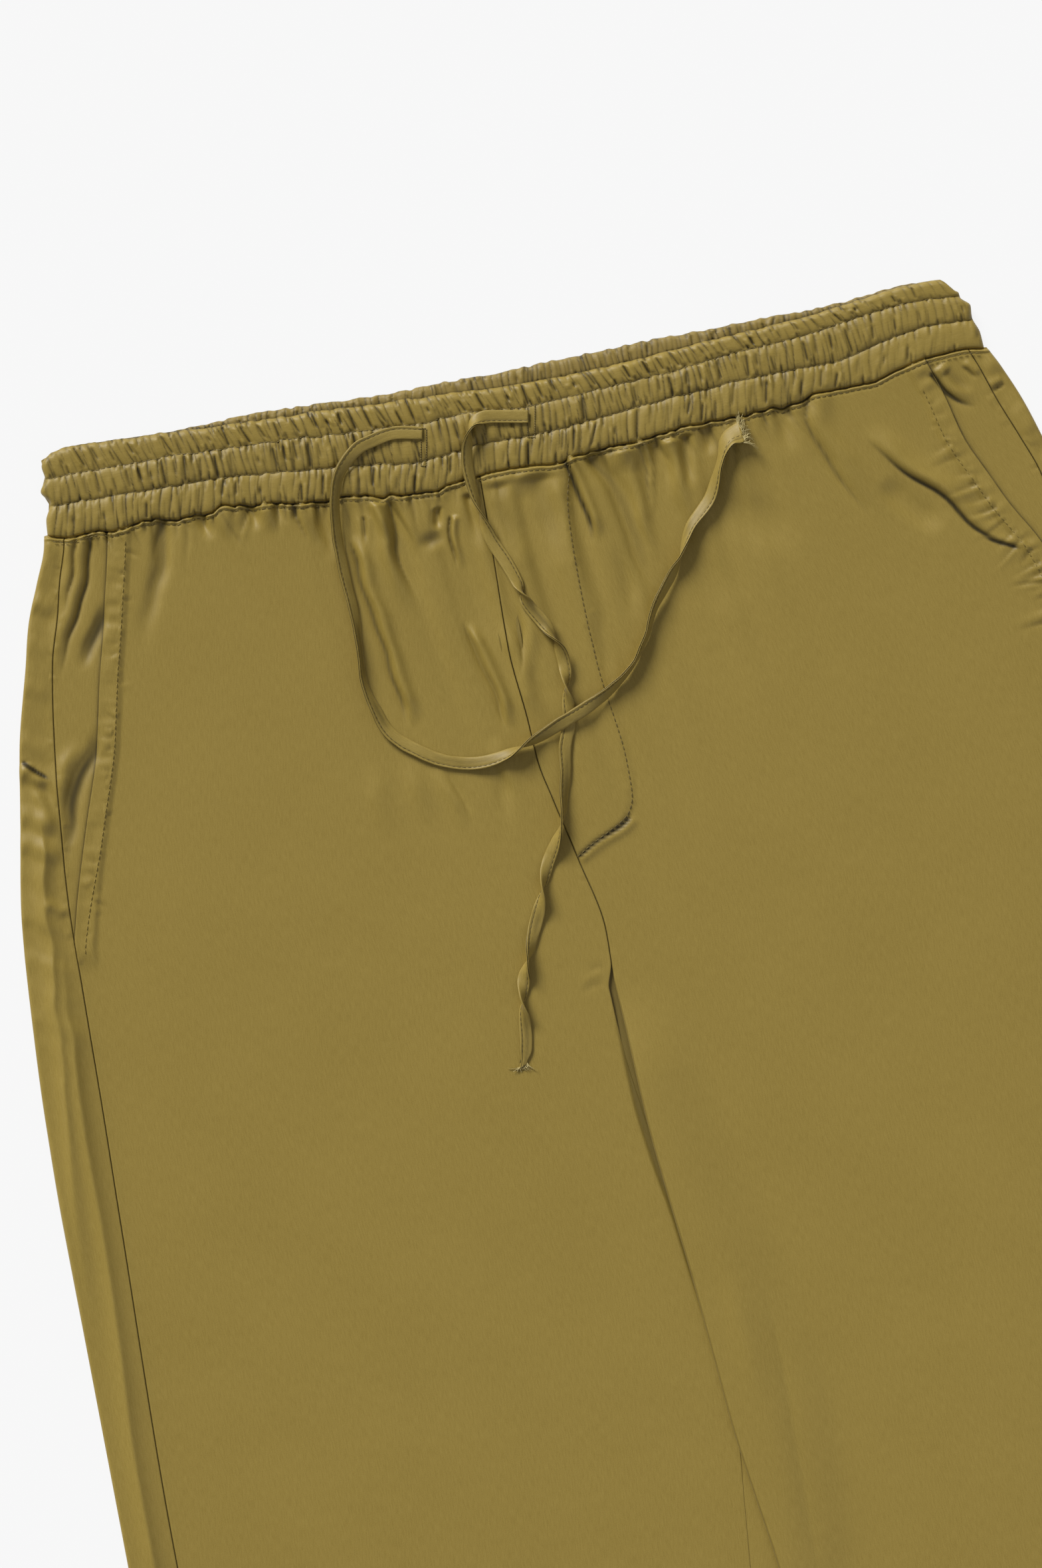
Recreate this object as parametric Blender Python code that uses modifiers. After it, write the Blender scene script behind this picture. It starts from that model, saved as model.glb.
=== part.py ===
"""Satin drawstring trousers, laid flat with the front up.

Metres, +Z up. Z = 0 is the surface that they lie on, +Y runs towards the waist and +X towards the viewer's
right, which is the wearer's left leg. The tables are in millimetres. A place on the plan is an x from the
garment's middle and a drop, measured down from the waist seam's height at the centre front. A column with
the name of a leg is a distance from the middle on that leg's side unless the table says otherwise.
"""

from collections import namedtuple

import bpy
import numpy as np

MM = 0.001
GARMENT = "drawstring_trousers"

# Driving dimensions, in millimetres.
INSIDE_LENGTH = 990.0  # from the waist seam to the hem
BAND_LENGTH_ABOVE = 48.0  # the waistband's highest point above the waist seam at the centre front
WALL = 1.0
GAP = 0.3
FLAT_LEVEL = 2 * WALL + GAP  # the front's upper side where both layers lie flat
CROTCH_DROP = 238.0
SEAM_CURVE_REACH = 60.0  # how far down the rows still follow the waist seam's sag
WAIST_PUFF = 2.0
WAIST_PUFF_REACH = 40.0
EDGE_PUFF = 0.8
EDGE_PUFF_REACH = 15.0
SEAM_DITCH = 0.9
SEAM_DITCH_WIDTH = 3.0
LAYER_LIFT = 1.7  # how far an inner layer holds up the panel on it
LAYER_LIFT_FALL = 11.0
LIFT_STEP = 2.0  # the full lift runs this far past the edge of what lies underneath
FLY_LIFT_STEP = 3.5
EDGE_SAMPLE = 1.5  # how far in from a folded edge the height there is read
POCKET_TUCK = 8.0  # how far the pocket's backing runs in under the front
POCKET_END = 178.0
FLY_EDGE_INSET = 1.5
FLY_END = 165.0
FLY_TIP_SHORT = 5.0
FLY_TIP_WIDTH = 2.0
FACING_CELLS = 3
FLOOR_INSET = 0.8  # more room at the waist seam for the wide cells on the floor side
ROLL_SIDES = 4
RETURN_CELLS = 2
FLOOR_CELLS = 4
FOLD_FADE = 0.5  # share of its depth that a fold loses by its end
LEG_LIFT = 3.1  # how far the left leg's inner edge rides up on the right leg
LEG_LIFT_FALL = 20.0
FRONT_LIFT_SHARE = 1.12  # the lifted front stands a little rounder than the back under it
LEG_LIFT_START = (240.0, 262.0)
LEG_LIFT_END = (518.0, 600.0)
INNER_RETURN = 6.0  # the left front's return on the floor side of its inner edge
COARSE_CELLS = 10  # across a panel below the crotch, twice as many above it, four times by the waist
INNER_CELLS = 3  # how many of them lie in the left front's strip along its inner edge
INNER_STRIP = 27.0
BAND_BACK_TOP = 2.2
BAND_BASE = BAND_BACK_TOP + GAP
BAND_SHOULDER = 3.8
BAND_STITCH = 4.1
BAND_CHANNEL = 5.7
GATHERS = 44
GATHER_DEPTH = 0.55
GATHER_WANDER = ((0.006, 3, 0.31), (0.004, 7, 0.17))  # size, waves along the band, shift by channel
GATHER_SWELL = (0.25, 5, 0.4)
SHOULDER_HEIGHT = 1.2
BAND_END_STEP = 0.004  # share of the band that each of its ends takes
BAND_STEP = 2.0  # over which the drawstring climbs from the legs onto the band
CORD_WIDTH = 5.6
CORD_THICK = 1.0
CORD_CLEARANCE = 0.55
CORD_HALF_TURN = 21.0  # the length over which the right strand turns over once
CORD_HUMP = 2.1
CORD_HUMP_REACH = 14.0
CORD_TURNS_ABOVE = 3  # half turns of the right strand above the crossing
CORD_EVENING = 2  # neighbours each way that even out a strand's height
CORD_FINE = 40
CORD_CROSSING = (1.5, 115.0)
CORD_FLAT_REACH = 6.0  # the right strand lies flat this far each side of the crossing

WAIST_Y = (INSIDE_LENGTH - BAND_LENGTH_ABOVE) / 2

# The rows down a leg. The first is on the waist seam, and the zones below get fewer columns.
ROWS_GATHERED = (0, 5, 11, 19, 29, 42, 57, 76)
ROWS_RISE = (98, 124, 146, 163, 178, 194, 214, 234, CROTCH_DROP)
ROWS_LEG = (262, 300, 340, 375, 410, 445, 480, 511, 545, 600, 760, INSIDE_LENGTH)
ROWS = np.array(ROWS_GATHERED + ROWS_RISE + ROWS_LEG, float)
CROTCH_ROW = len(ROWS_GATHERED) + len(ROWS_RISE) - 1

SideRow = namedtuple("SideRow", "drop right_edge right_seam left_edge left_seam")
SIDES = (
    SideRow(-13, 216.0, 207.0, 217.5, 209.0),
    SideRow(-4, 217.5, 208.0, 222.0, 212.5),
    SideRow(12, 224.0, 213.0, 228.7, 217.8),
    SideRow(29, 231.0, 217.5, 234.0, 224.4),
    SideRow(48, 236.0, 223.3, 239.5, 231.0),
    SideRow(81, 245.0, 229.0, 246.0, 236.0),
    SideRow(114, 251.0, 233.0, 251.0, 239.5),
    SideRow(163, 259.5, 237.0, 259.5, 242.0),
    SideRow(198, 262.5, 237.8, 262.5, 243.0),
    SideRow(251, 265.5, 239.0, 265.5, 244.0),
    SideRow(300, 266.5, 240.5, 266.5, 244.5),
    SideRow(454, 266.5, 244.5, 266.5, 246.0),
    SideRow(700, 262.0, 243.0, 262.0, 243.0),
    SideRow(990, 252.0, 236.0, 252.0, 236.0),
)

MouthRow = namedtuple("MouthRow", "drop right left")
POCKET_MOUTHS = (
    MouthRow(-12, 186.5, 189.0),
    MouthRow(4, 189.8, 194.3),
    MouthRow(25, 195.0, 199.5),
    MouthRow(43, 199.5, 207.4),
    MouthRow(58, 203.6, 214.3),
    MouthRow(78, 208.3, 225.3),
    MouthRow(93, 212.0, 230.5),
    MouthRow(124, 222.5, 237.0),
    MouthRow(155, 232.4, 241.0),
    MouthRow(178, 238.5, 243.5),
)

# The centre seam and the fly's edge, as x to the viewer's right of the middle.
PlanRow = namedtuple("PlanRow", "drop x")
CENTRE_SEAM = (
    PlanRow(-5, -18.0),
    PlanRow(38, -19.0),
    PlanRow(81, -20.0),
    PlanRow(113, -17.5),
    PlanRow(132, -16.6),
    PlanRow(151, -13.0),
    PlanRow(179, -7.0),
    PlanRow(214, -0.6),
    PlanRow(CROTCH_DROP, -1.4),
)
FLY_EDGE = (
    PlanRow(-5, 23.0),
    PlanRow(3, 22.5),
    PlanRow(20, 18.4),
    PlanRow(39, 17.0),
    PlanRow(74, 17.0),
    PlanRow(101, 18.4),
    PlanRow(134, 22.5),
    PlanRow(147, 22.7),
    PlanRow(157, 21.5),
    PlanRow(165, 17.0),
    PlanRow(179, -7.8),
    PlanRow(195, -36.0),
)

# The legs' inner edges, as x to the viewer's right of the middle. The left leg lies on the right one.
InnerRow = namedtuple("InnerRow", "drop left_fold right_fold right_seam")
INNER_EDGES = (
    InnerRow(CROTCH_DROP, -1.2, -1.7, -4.6),
    InnerRow(262, -0.2, -0.8, -3.6),
    InnerRow(300, 1.2, 4.2, 0.6),
    InnerRow(340, 4.6, 11.0, 7.0),
    InnerRow(371, 7.7, 18.0, 11.5),
    InnerRow(410, 10.8, 24.0, 14.2),
    InnerRow(445, 13.5, 27.0, 15.0),
    InnerRow(480, 18.0, 25.5, 12.0),
    InnerRow(511, 22.0, 23.0, 9.0),
    InnerRow(560, 25.0, 17.0, 5.0),
    InnerRow(700, 30.0, 7.0, -6.0),
    InnerRow(990, 38.0, -10.0, -22.0),
)

# The waistband's lines, as heights above the waist seam at the centre front.
BandRow = namedtuple("BandRow", "x seam low_stitch high_stitch front_top back_top")
BAND = (
    BandRow(-214, 7.7, 21.9, 34.6, 45.4, 46.1),
    BandRow(-190, 6.9, 21.8, 34.2, 45.6, 46.5),
    BandRow(-166, 6.6, 20.7, 33.0, 44.6, 45.3),
    BandRow(-128, 5.0, 18.5, 32.0, 43.4, 45.2),
    BandRow(-95, 2.0, 16.0, 30.0, 41.6, 44.9),
    BandRow(-60, -0.4, 12.7, 27.3, 38.8, 43.4),
    BandRow(-20, -1.8, 12.3, 27.2, 37.9, 43.4),
    BandRow(22, -2.1, 12.2, 26.2, 38.9, 43.9),
    BandRow(60, 0.4, 13.1, 29.4, 38.6, 44.6),
    BandRow(95, 4.2, 15.5, 30.9, 40.2, 44.7),
    BandRow(130, 4.9, 18.8, 32.2, 41.5, 45.0),
    BandRow(168, 7.6, 22.2, 36.3, 45.0, 46.4),
    BandRow(194, 11.4, 27.6, 39.3, 46.6, 47.8),
    BandRow(216, 12.4, 27.9, 39.5, 46.2, 48.0),
)
EndRow = namedtuple("EndRow", "across right left")
BAND_ENDS = (
    EndRow(0.0, 215.0, 216.2),
    EndRow(0.18, 214.3, 215.8),
    EndRow(0.37, 211.2, 213.4),
    EndRow(0.52, 214.3, 213.8),
    EndRow(0.70, 210.9, 210.0),
    EndRow(0.86, 210.6, 207.0),
    EndRow(1.0, 207.0, 202.0),
)

# A line along a solid half of the band: its share of the depth, its height and level, and its gathers.
BandLine = namedtuple("BandLine", "across height level depth lean channel")

# The largest folds of the front: soft ridges (+) and hollows (-) from one end to the other.
Fold = namedtuple("Fold", "x drop end_x end_drop width depth")
FOLDS = (
    Fold(-167, -6, -171, 28, 5.0, -1.2),
    Fold(-157, -4, -160, 30, 8.0, 0.7),
    Fold(-145, 0, -143, 9, 4.0, -0.8),
    Fold(-122, -4, -122, 8, 4.0, -0.8),
    Fold(-103, 0, -101, 18, 4.0, -0.9),
    Fold(-82, 18, -72, 108, 3.0, -1.0),
    Fold(-77, 14, -67, 98, 6.0, 1.0),
    Fold(-66, 7, -56, 48, 4.5, -1.2),
    Fold(-48, 25, -41, 26, 5.0, -1.2),
    Fold(-44, 34, -42, 90, 6.0, 0.8),
    Fold(-34, 16, -37, 42, 3.0, -1.1),
    Fold(-36, 58, -27, 119, 4.5, -1.0),
    Fold(-29, 70, -22, 126, 4.0, 0.9),
    Fold(-12, 69, -21, 97, 5.0, -0.9),
    Fold(22, 3, 27, 40, 3.5, -1.2),
    Fold(35, 5, 47, 66, 6.0, -1.3),
    Fold(41, 3, 55, 62, 5.0, 0.9),
    Fold(59, 4, 62, 48, 4.5, -1.2),
    Fold(67, 2, 70, 44, 5.0, 0.8),
    Fold(74, 6, 75, 26, 4.5, -1.0),
    Fold(55, 85, 68, 60, 9.0, -0.6),
    Fold(94, 36, 116, 58, 10.0, -0.7),
    Fold(132, 2, 143, 30, 6.0, -1.2),
    Fold(153, 17, 206, 72, 6.0, 1.6),
)

# The drawstring's two free ends, from the buttonhole on. A tilt of 90 stands the ribbon on its edge.
Route = namedtuple("Route", "x drop tilt")
LEFT_STRAND = (
    Route(-40.0, -22.2, 0),
    Route(-52.4, -24.6, 0),
    Route(-63.1, -23.0, 0),
    Route(-71.0, -20.2, 10),
    Route(-79.9, -11.5, 35),
    Route(-84.1, -0.7, 60),
    Route(-86.2, 13.6, 60),
    Route(-86.5, 30.9, 50),
    Route(-85.6, 48.5, 60),
    Route(-85.9, 66.1, 70),
    Route(-86.8, 81.9, 60),
    Route(-84.2, 95.8, 35),
    Route(-79.3, 108.3, 15),
    Route(-69.4, 117.5, 0),
    Route(-57.7, 124.7, 0),
    Route(-43.7, 128.3, 5),
    Route(-30.3, 127.1, 15),
    Route(-16.4, 123.1, 20),
    Route(-3.9, 118.1, 0),
    Route(8.6, 113.5, 0),
    Route(21.7, 107.1, 20),
    Route(33.6, 97.8, 55),
    Route(41.4, 87.4, 75),
    Route(48.5, 74.1, 70),
    Route(58.2, 61.6, 40),
    Route(64.0, 53.8, 15),
    Route(70.5, 41.9, 50),
    Route(81.5, 30.9, 20),
    Route(88.3, 17.5, 60),
    Route(94.0, 7.0, 30),
    Route(101.3, 3.8, 0),
)
RIGHT_STRAND = (
    Route(8.2, -20.6, 0),
    Route(-2.4, -22.7, 0),
    Route(-12.0, -24.0, 0),
    Route(-17.4, -21.5, 0),
    Route(-20.4, -15.0, 0),
    Route(-22.1, -8.7, 0),
    Route(-22.8, -0.6, 0),
    Route(-21.7, 12.7, 0),
    Route(-19.0, 29.1, 0),
    Route(-14.0, 41.7, 0),
    Route(-10.4, 52.8, 0),
    Route(-7.9, 62.1, 0),
    Route(-1.5, 73.7, 0),
    Route(2.6, 84.8, 0),
    Route(3.2, 94.8, 0),
    Route(2.0, 103.4, 0),
    Route(1.5, 112.1, 0),
    Route(0.3, 119.1, 0),
    Route(-3.3, 128.5, 0),
    Route(-5.0, 138.4, 0),
    Route(-7.8, 149.8, 0),
    Route(-10.6, 160.9, 0),
    Route(-15.6, 170.1, 0),
    Route(-20.8, 178.7, 0),
    Route(-24.5, 187.5, 0),
    Route(-28.2, 197.8, 0),
    Route(-32.9, 207.9, 0),
    Route(-36.9, 217.8, 0),
    Route(-40.8, 226.8, 0),
    Route(-43.4, 236.9, 0),
    Route(-44.4, 246.7, 0),
    Route(-45.2, 254.5, 0),
    Route(-46.7, 261.1, 0),
    Route(-49.0, 266.8, 0),
)
LEFT_STRAND_POINTS = 42
RIGHT_STRAND_POINTS = 60

SATIN = (0.262, 0.191, 0.047)
SATIN_INSIDE = (0.190, 0.138, 0.036)
RIBBON = (0.246, 0.184, 0.052)


def column(rows, name):
    """One named column of a table, as an array."""
    return np.array([getattr(row, name) for row in rows], float)


def smooth_curve(at, places, values):
    """A curve through the points that never swings past them: a cubic with harmonic mean slopes."""
    step = np.diff(places)
    slope = np.diff(values) / step
    product = slope[:-1] * slope[1:]
    total = np.where(product > 0, slope[:-1] + slope[1:], 1.0)
    tangent = np.zeros_like(values)
    tangent[1:-1] = np.where(product > 0, 2 * product / total, 0.0)
    tangent[0], tangent[-1] = slope[0], slope[-1]
    at = np.clip(at, places[0], places[-1])
    i = np.clip(np.searchsorted(places, at) - 1, 0, len(step) - 1)
    t = (at - places[i]) / step[i]
    ends = (1 + 2 * t) * (1 - t) ** 2 * values[i] + t**2 * (3 - 2 * t) * values[i + 1]
    slopes = t * (1 - t) ** 2 * tangent[i] - t**2 * (1 - t) * tangent[i + 1]
    return ends + step[i] * slopes


def look_up(rows, name, at, key="drop"):
    """A table's column as a smooth curve, read at the given places."""
    return smooth_curve(np.asarray(at, float), column(rows, key), column(rows, name))


def ease(t):
    """From 0 to 1 with level ends, and flat outside."""
    t = np.clip(t, 0.0, 1.0)
    return t * t * (3 - 2 * t)


def band_line(name, x):
    """Height of one of the waistband's lines above the waist seam at the centre front."""
    return look_up(BAND, name, x, "x")


def row_drop(row, x):
    """Drop of a row at x. Rows near the waist follow the waist seam's sag."""
    start = ROWS[row]
    follow = 1 - ease(start / SEAM_CURVE_REACH)
    edge = GAP / 2 if row == 0 else 0.0
    return start + edge - follow * band_line("seam", x)


def fold_relief(x, drop):
    """Sum of the folds: each is a round ridge along a line that dies away past its ends."""
    total = np.zeros_like(x)
    for fold in FOLDS:
        run = np.array((fold.end_x - fold.x, fold.end_drop - fold.drop), float)
        along = ((x - fold.x) * run[0] + (drop - fold.drop) * run[1]) / (run @ run)
        held = np.clip(along, 0.0, 1.0)
        away = np.hypot(x - fold.x - held * run[0], drop - fold.drop - held * run[1])
        total += fold.depth * np.exp(-((away / fold.width) ** 2)) * (1 - FOLD_FADE * held)
    return total


def upper_level(x, drop):
    """Height of the cloth's upper side, without what its inner layers and the other leg add."""
    below = np.maximum(drop + band_line("seam", x), 0.0)
    side = np.where(x < 0, look_up(SIDES, "right_edge", drop), look_up(SIDES, "left_edge", drop))
    puff = WAIST_PUFF * np.exp(-below / WAIST_PUFF_REACH)
    edge = EDGE_PUFF * (1 - ease((side - np.abs(x)) / EDGE_PUFF_REACH))
    level = np.maximum(FLAT_LEVEL + puff + edge + fold_relief(x, drop), FLAT_LEVEL)
    ditch = SEAM_DITCH * np.exp(-((below / SEAM_DITCH_WIDTH) ** 2))
    return np.maximum(level - ditch, FLAT_LEVEL)


def pocket_lift(leg, x, drop):
    """How far the pocket's backing holds up the front beside the pocket's mouth."""
    inward = look_up(POCKET_MOUTHS, leg, drop) - np.abs(x) - POCKET_TUCK
    past_end = (drop - POCKET_END) / LAYER_LIFT_FALL
    return LAYER_LIFT * (1 - ease((inward - LIFT_STEP) / LAYER_LIFT_FALL)) * (1 - ease(past_end))


def fly_lift(x, drop):
    """How far the fly's inner layer holds up the left front."""
    outside = x - look_up(FLY_EDGE, "x", drop)
    return LAYER_LIFT * (1 - ease((outside - FLY_LIFT_STEP) / LAYER_LIFT_FALL))


def leg_lift(x, drop):
    """How far the left leg's inner edge rides up on the right leg."""
    fold = look_up(INNER_EDGES, "right_fold", drop)
    start, end = LEG_LIFT_START, LEG_LIFT_END
    down = ease((drop - start[0]) / (start[1] - start[0])) * (1 - ease((drop - end[0]) / (end[1] - end[0])))
    return LEG_LIFT * down * (1 - ease((x - fold - LIFT_STEP) / LEG_LIFT_FALL))


def front_level(leg, x, drop):
    """Height of a front panel's upper side with all that lies under it."""
    level = upper_level(x, drop) + pocket_lift(leg, x, drop)
    if leg == "left":
        level = level + fly_lift(x, drop) + FRONT_LIFT_SHARE * leg_lift(x, drop)
    return level


def side_of(leg):
    """Sign of a leg's side of the garment's middle."""
    return -1 if leg == "right" else 1


def settled_edge(row, leg, edge):
    """Where a row meets an edge on a leg's side that is given as a function of the drop."""
    x = side_of(leg) * edge(ROWS[row])
    for _ in range(3):
        x = side_of(leg) * edge(row_drop(row, x))
    return float(x)


def plan_points(row, x, z, inset=0.0):
    """A row of x and z, in millimetres, as points in metres. The inset shortens the panel at the waist."""
    y = WAIST_Y - row_drop(row, x) - (inset if row == 0 else 0.0)
    return np.stack((x, y, np.broadcast_to(z, x.shape)), axis=1) * MM


def roll_points(row, centre_x, radius, base, turn):
    """Half a circle round a folded edge, from the floor side up, bulging to the side of the turn's sign."""
    angle = np.radians(np.linspace(-90, 90, ROLL_SIDES + 1))
    x = centre_x + turn * radius * np.cos(angle)
    y = np.full(x.shape, WAIST_Y - row_drop(row, np.array(centre_x)))
    return np.stack((x, y, base + radius + radius * np.sin(angle)), axis=1) * MM


def link_rows(faces, upper, lower):
    """Faces between two rows of vertex numbers, cut the same way on every layer so that layers nest.

    Where the lower row has fewer vertices, its cells take more corners.
    """
    cells = len(lower) - 1
    step = (len(upper) - 1) // cells
    for cell in range(cells):
        top = upper[cell * step : (cell + 1) * step + 1]
        if step > 1:
            faces.append(tuple(top) + (lower[cell + 1], lower[cell]))
        else:
            faces.append((top[0], top[1], lower[cell + 1]))
            faces.append((top[0], lower[cell + 1], lower[cell]))


def satin(name, colour):
    """Plain satin weave: a soft sheen on a coloured cloth."""
    material = bpy.data.materials.new(name)
    material.use_nodes = True
    shader = material.node_tree.nodes["Principled BSDF"]
    shader.inputs["Base Color"].default_value = (*colour, 1.0)
    shader.inputs["Roughness"].default_value = 0.42
    shader.inputs["Metallic"].default_value = 0.0
    return material


def add_object(name, data, colour, collection):
    """An object of the garment with a material of its own."""
    piece = bpy.data.objects.new(name, data)
    data.materials.append(satin(name + "_satin", colour))
    collection.objects.link(piece)
    return piece


def cloth_wall(name, rows, faces, collection, colour=SATIN):
    """An open surface, outer side out, given the cloth's thickness on its inner side."""
    mesh = bpy.data.meshes.new(name)
    mesh.from_pydata(np.concatenate(rows).tolist(), [], faces)
    mesh.update()
    mesh.shade_smooth()
    piece = add_object(name, mesh, colour, collection)
    wall = piece.modifiers.new("wall", "SOLIDIFY")
    wall.thickness = WALL * MM
    wall.offset = -1.0
    return piece


def number_rows(rows):
    """Vertex numbers of each row, in the order in which the rows are joined."""
    starts = np.cumsum([0] + [len(row) for row in rows])
    return [list(range(starts[i], starts[i + 1])) for i in range(len(rows))]


def front_outer_edge(leg):
    """The front's outer edge: the pocket's mouth, and the side seam below it."""

    def edge(drop):
        mouth = look_up(POCKET_MOUTHS, leg, drop)
        return np.minimum(mouth, look_up(SIDES, leg + "_seam", drop) - GAP / 2)

    return edge


def column_places(leg, row, cells):
    """Where a front panel's columns cross a row, from its outer edge to its inner edge."""
    drop = ROWS[row]
    sign = side_of(leg)
    outer = settled_edge(row, leg, front_outer_edge(leg))
    if row < CROTCH_ROW:
        inner = float(look_up(CENTRE_SEAM, "x", drop)) + sign * GAP / 2
    elif leg == "right":
        inner = float(look_up(INNER_EDGES, "right_seam", drop)) - GAP / 2
    else:
        inner = float(look_up(INNER_EDGES, "left_fold", drop)) + inner_radius(drop)
    strip = abs(outer - inner) * INNER_CELLS / COARSE_CELLS
    if leg == "left":
        strip = INNER_STRIP
    share = np.linspace(0, 1, cells + 1)
    return np.interp(share, (0, 1 - INNER_CELLS / COARSE_CELLS, 1), (outer, inner + sign * strip, inner))


def front_rows(leg, coarse):
    """Upper side of a front panel, row by row, from its outer edge to its inner edge."""
    rows = []
    for row in range(len(ROWS)):
        cells = 4 * coarse
        if row > len(ROWS_GATHERED) - 1:
            cells = 2 * coarse
        if row >= CROTCH_ROW:
            cells = coarse
        x = column_places(leg, row, cells)
        rows.append(plan_points(row, x, front_level(leg, x, row_drop(row, x))))
    return rows


def lift_on_row(row, x):
    """The left leg's lift at places on a row, straight between the front panel's columns there."""
    places = column_places("left", row, COARSE_CELLS)[::-1]
    return np.interp(x, places, leg_lift(places, ROWS[row]))


def inner_radius(drop):
    """Half the left leg's thickness at its inner fold."""
    fold = look_up(INNER_EDGES, "left_fold", drop)
    return float(upper_level(fold + EDGE_SAMPLE, np.asarray(drop, float))) / 2


def front_right(collection):
    """Front panel of the wearer's right leg."""
    rows = front_rows("right", COARSE_CELLS)
    numbers = number_rows(rows)
    faces = []
    for upper, lower in zip(numbers, numbers[1:]):
        link_rows(faces, upper, lower)
    cloth_wall("front_leg_right", rows, [face[::-1] for face in faces], collection)


def front_left(collection):
    """Front panel of the wearer's left leg, which rolls round its inner edge to the floor side."""
    rows = front_rows("left", COARSE_CELLS)
    for row in range(CROTCH_ROW, len(ROWS)):
        drop = ROWS[row]
        fold = float(look_up(INNER_EDGES, "left_fold", drop))
        radius = inner_radius(drop)
        base = float(lift_on_row(row, fold))
        around = roll_points(row, fold + radius, radius, base, -1)[::-1]
        under_x = np.array((fold + INNER_RETURN,))
        under = plan_points(row, under_x, lift_on_row(row, under_x))
        rows.append(np.concatenate((around[1:], under)))
    numbers = number_rows(rows)
    panels, rolls = numbers[: len(ROWS)], numbers[len(ROWS) :]
    faces = []
    for upper, lower in zip(panels, panels[1:]):
        link_rows(faces, upper, lower)
    strips = [[panels[CROTCH_ROW + i][-1]] + roll for i, roll in enumerate(rolls)]
    for upper, lower in zip(strips, strips[1:]):
        link_rows(faces, upper, lower)
    cloth_wall("front_leg_left", rows, faces, collection)


def back_outer_points(leg, row):
    """A back panel's return on the front and its roll round the outer edge, down to the floor."""
    sign = side_of(leg)
    edge = settled_edge(row, leg, lambda at: look_up(SIDES, leg + "_edge", at))
    seam = settled_edge(row, leg, lambda at: look_up(SIDES, leg + "_seam", at)) + sign * GAP / 2
    top = float(upper_level(np.array(edge - sign * EDGE_SAMPLE), row_drop(row, np.array(edge))))
    radius = top / 2
    centre = edge - sign * radius
    x = np.linspace(seam, centre, RETURN_CELLS + 1)
    z = upper_level(x, row_drop(row, x))
    z[-1] = top
    around = roll_points(row, centre, radius, 0.0, sign)[::-1]
    return np.concatenate((plan_points(row, x, z), around[1:])), centre


def back_right(collection):
    """Back panel of the wearer's right leg, rolled over to the front along both edges of the leg."""
    rows, rolls = [], []
    for row, drop in enumerate(ROWS):
        outer, centre = back_outer_points("right", row)
        if row < CROTCH_ROW:
            inner = float(look_up(CENTRE_SEAM, "x", drop)) - GAP / 2
        else:
            fold = float(look_up(INNER_EDGES, "right_fold", drop))
            seam = float(look_up(INNER_EDGES, "right_seam", drop)) + GAP / 2
            radius = FLAT_LEVEL / 2
            inner = fold - radius
            around = roll_points(row, inner, radius, 0.0, 1)
            back_x = np.array((seam,))
            rolls.append(np.concatenate((around[1:], plan_points(row, back_x, FLAT_LEVEL))))
        floor_x = np.linspace(centre, inner, FLOOR_CELLS + 1)[1:]
        rows.append(np.concatenate((outer, plan_points(row, floor_x, 0.0, FLOOR_INSET))))
    numbers = number_rows(rows + rolls)
    panels, strips = numbers[: len(ROWS)], numbers[len(ROWS) :]
    faces = []
    for upper, lower in zip(panels, panels[1:]):
        link_rows(faces, upper, lower)
    strips = [[panels[CROTCH_ROW + i][-1]] + strip for i, strip in enumerate(strips)]
    for upper, lower in zip(strips, strips[1:]):
        link_rows(faces, upper, lower)
    cloth_wall("back_leg_right", rows + rolls, faces, collection)


def back_left(collection):
    """Back panel of the wearer's left leg. Its inner seam is on the floor side."""
    rows = []
    for row, drop in enumerate(ROWS):
        outer, centre = back_outer_points("left", row)
        if row < CROTCH_ROW:
            inner = float(look_up(CENTRE_SEAM, "x", drop)) + GAP / 2
        else:
            inner = float(look_up(INNER_EDGES, "left_fold", drop)) + INNER_RETURN + GAP
        places = column_places("left", row, COARSE_CELLS)
        floor_x = np.append(places[2:-1], inner)
        floor = plan_points(row, floor_x, lift_on_row(row, floor_x), FLOOR_INSET)
        rows.append(np.concatenate((outer, floor)))
    numbers = number_rows(rows)
    faces = []
    for upper, lower in zip(numbers, numbers[1:]):
        link_rows(faces, upper, lower)
    cloth_wall("back_leg_left", rows, [face[::-1] for face in faces], collection)


def pocket_facing(leg, collection):
    """The pocket's backing, from the side seam to a little way under the front."""
    sign = side_of(leg)
    rows = []
    for row, drop in enumerate(ROWS):
        if drop > POCKET_END:
            break
        seam = settled_edge(row, leg, lambda at: look_up(SIDES, leg + "_seam", at)) - sign * GAP / 2
        mouth = settled_edge(row, leg, front_outer_edge(leg))
        x = np.linspace(seam, mouth - sign * POCKET_TUCK, FACING_CELLS + 1)
        rows.append(plan_points(row, x, upper_level(x, row_drop(row, x))))
    numbers = number_rows(rows)
    faces = []
    for upper, lower in zip(numbers, numbers[1:]):
        link_rows(faces, upper, lower)
    if sign < 0:
        faces = [face[::-1] for face in faces]
    cloth_wall("pocket_facing_" + leg, rows, faces, collection)


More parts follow.
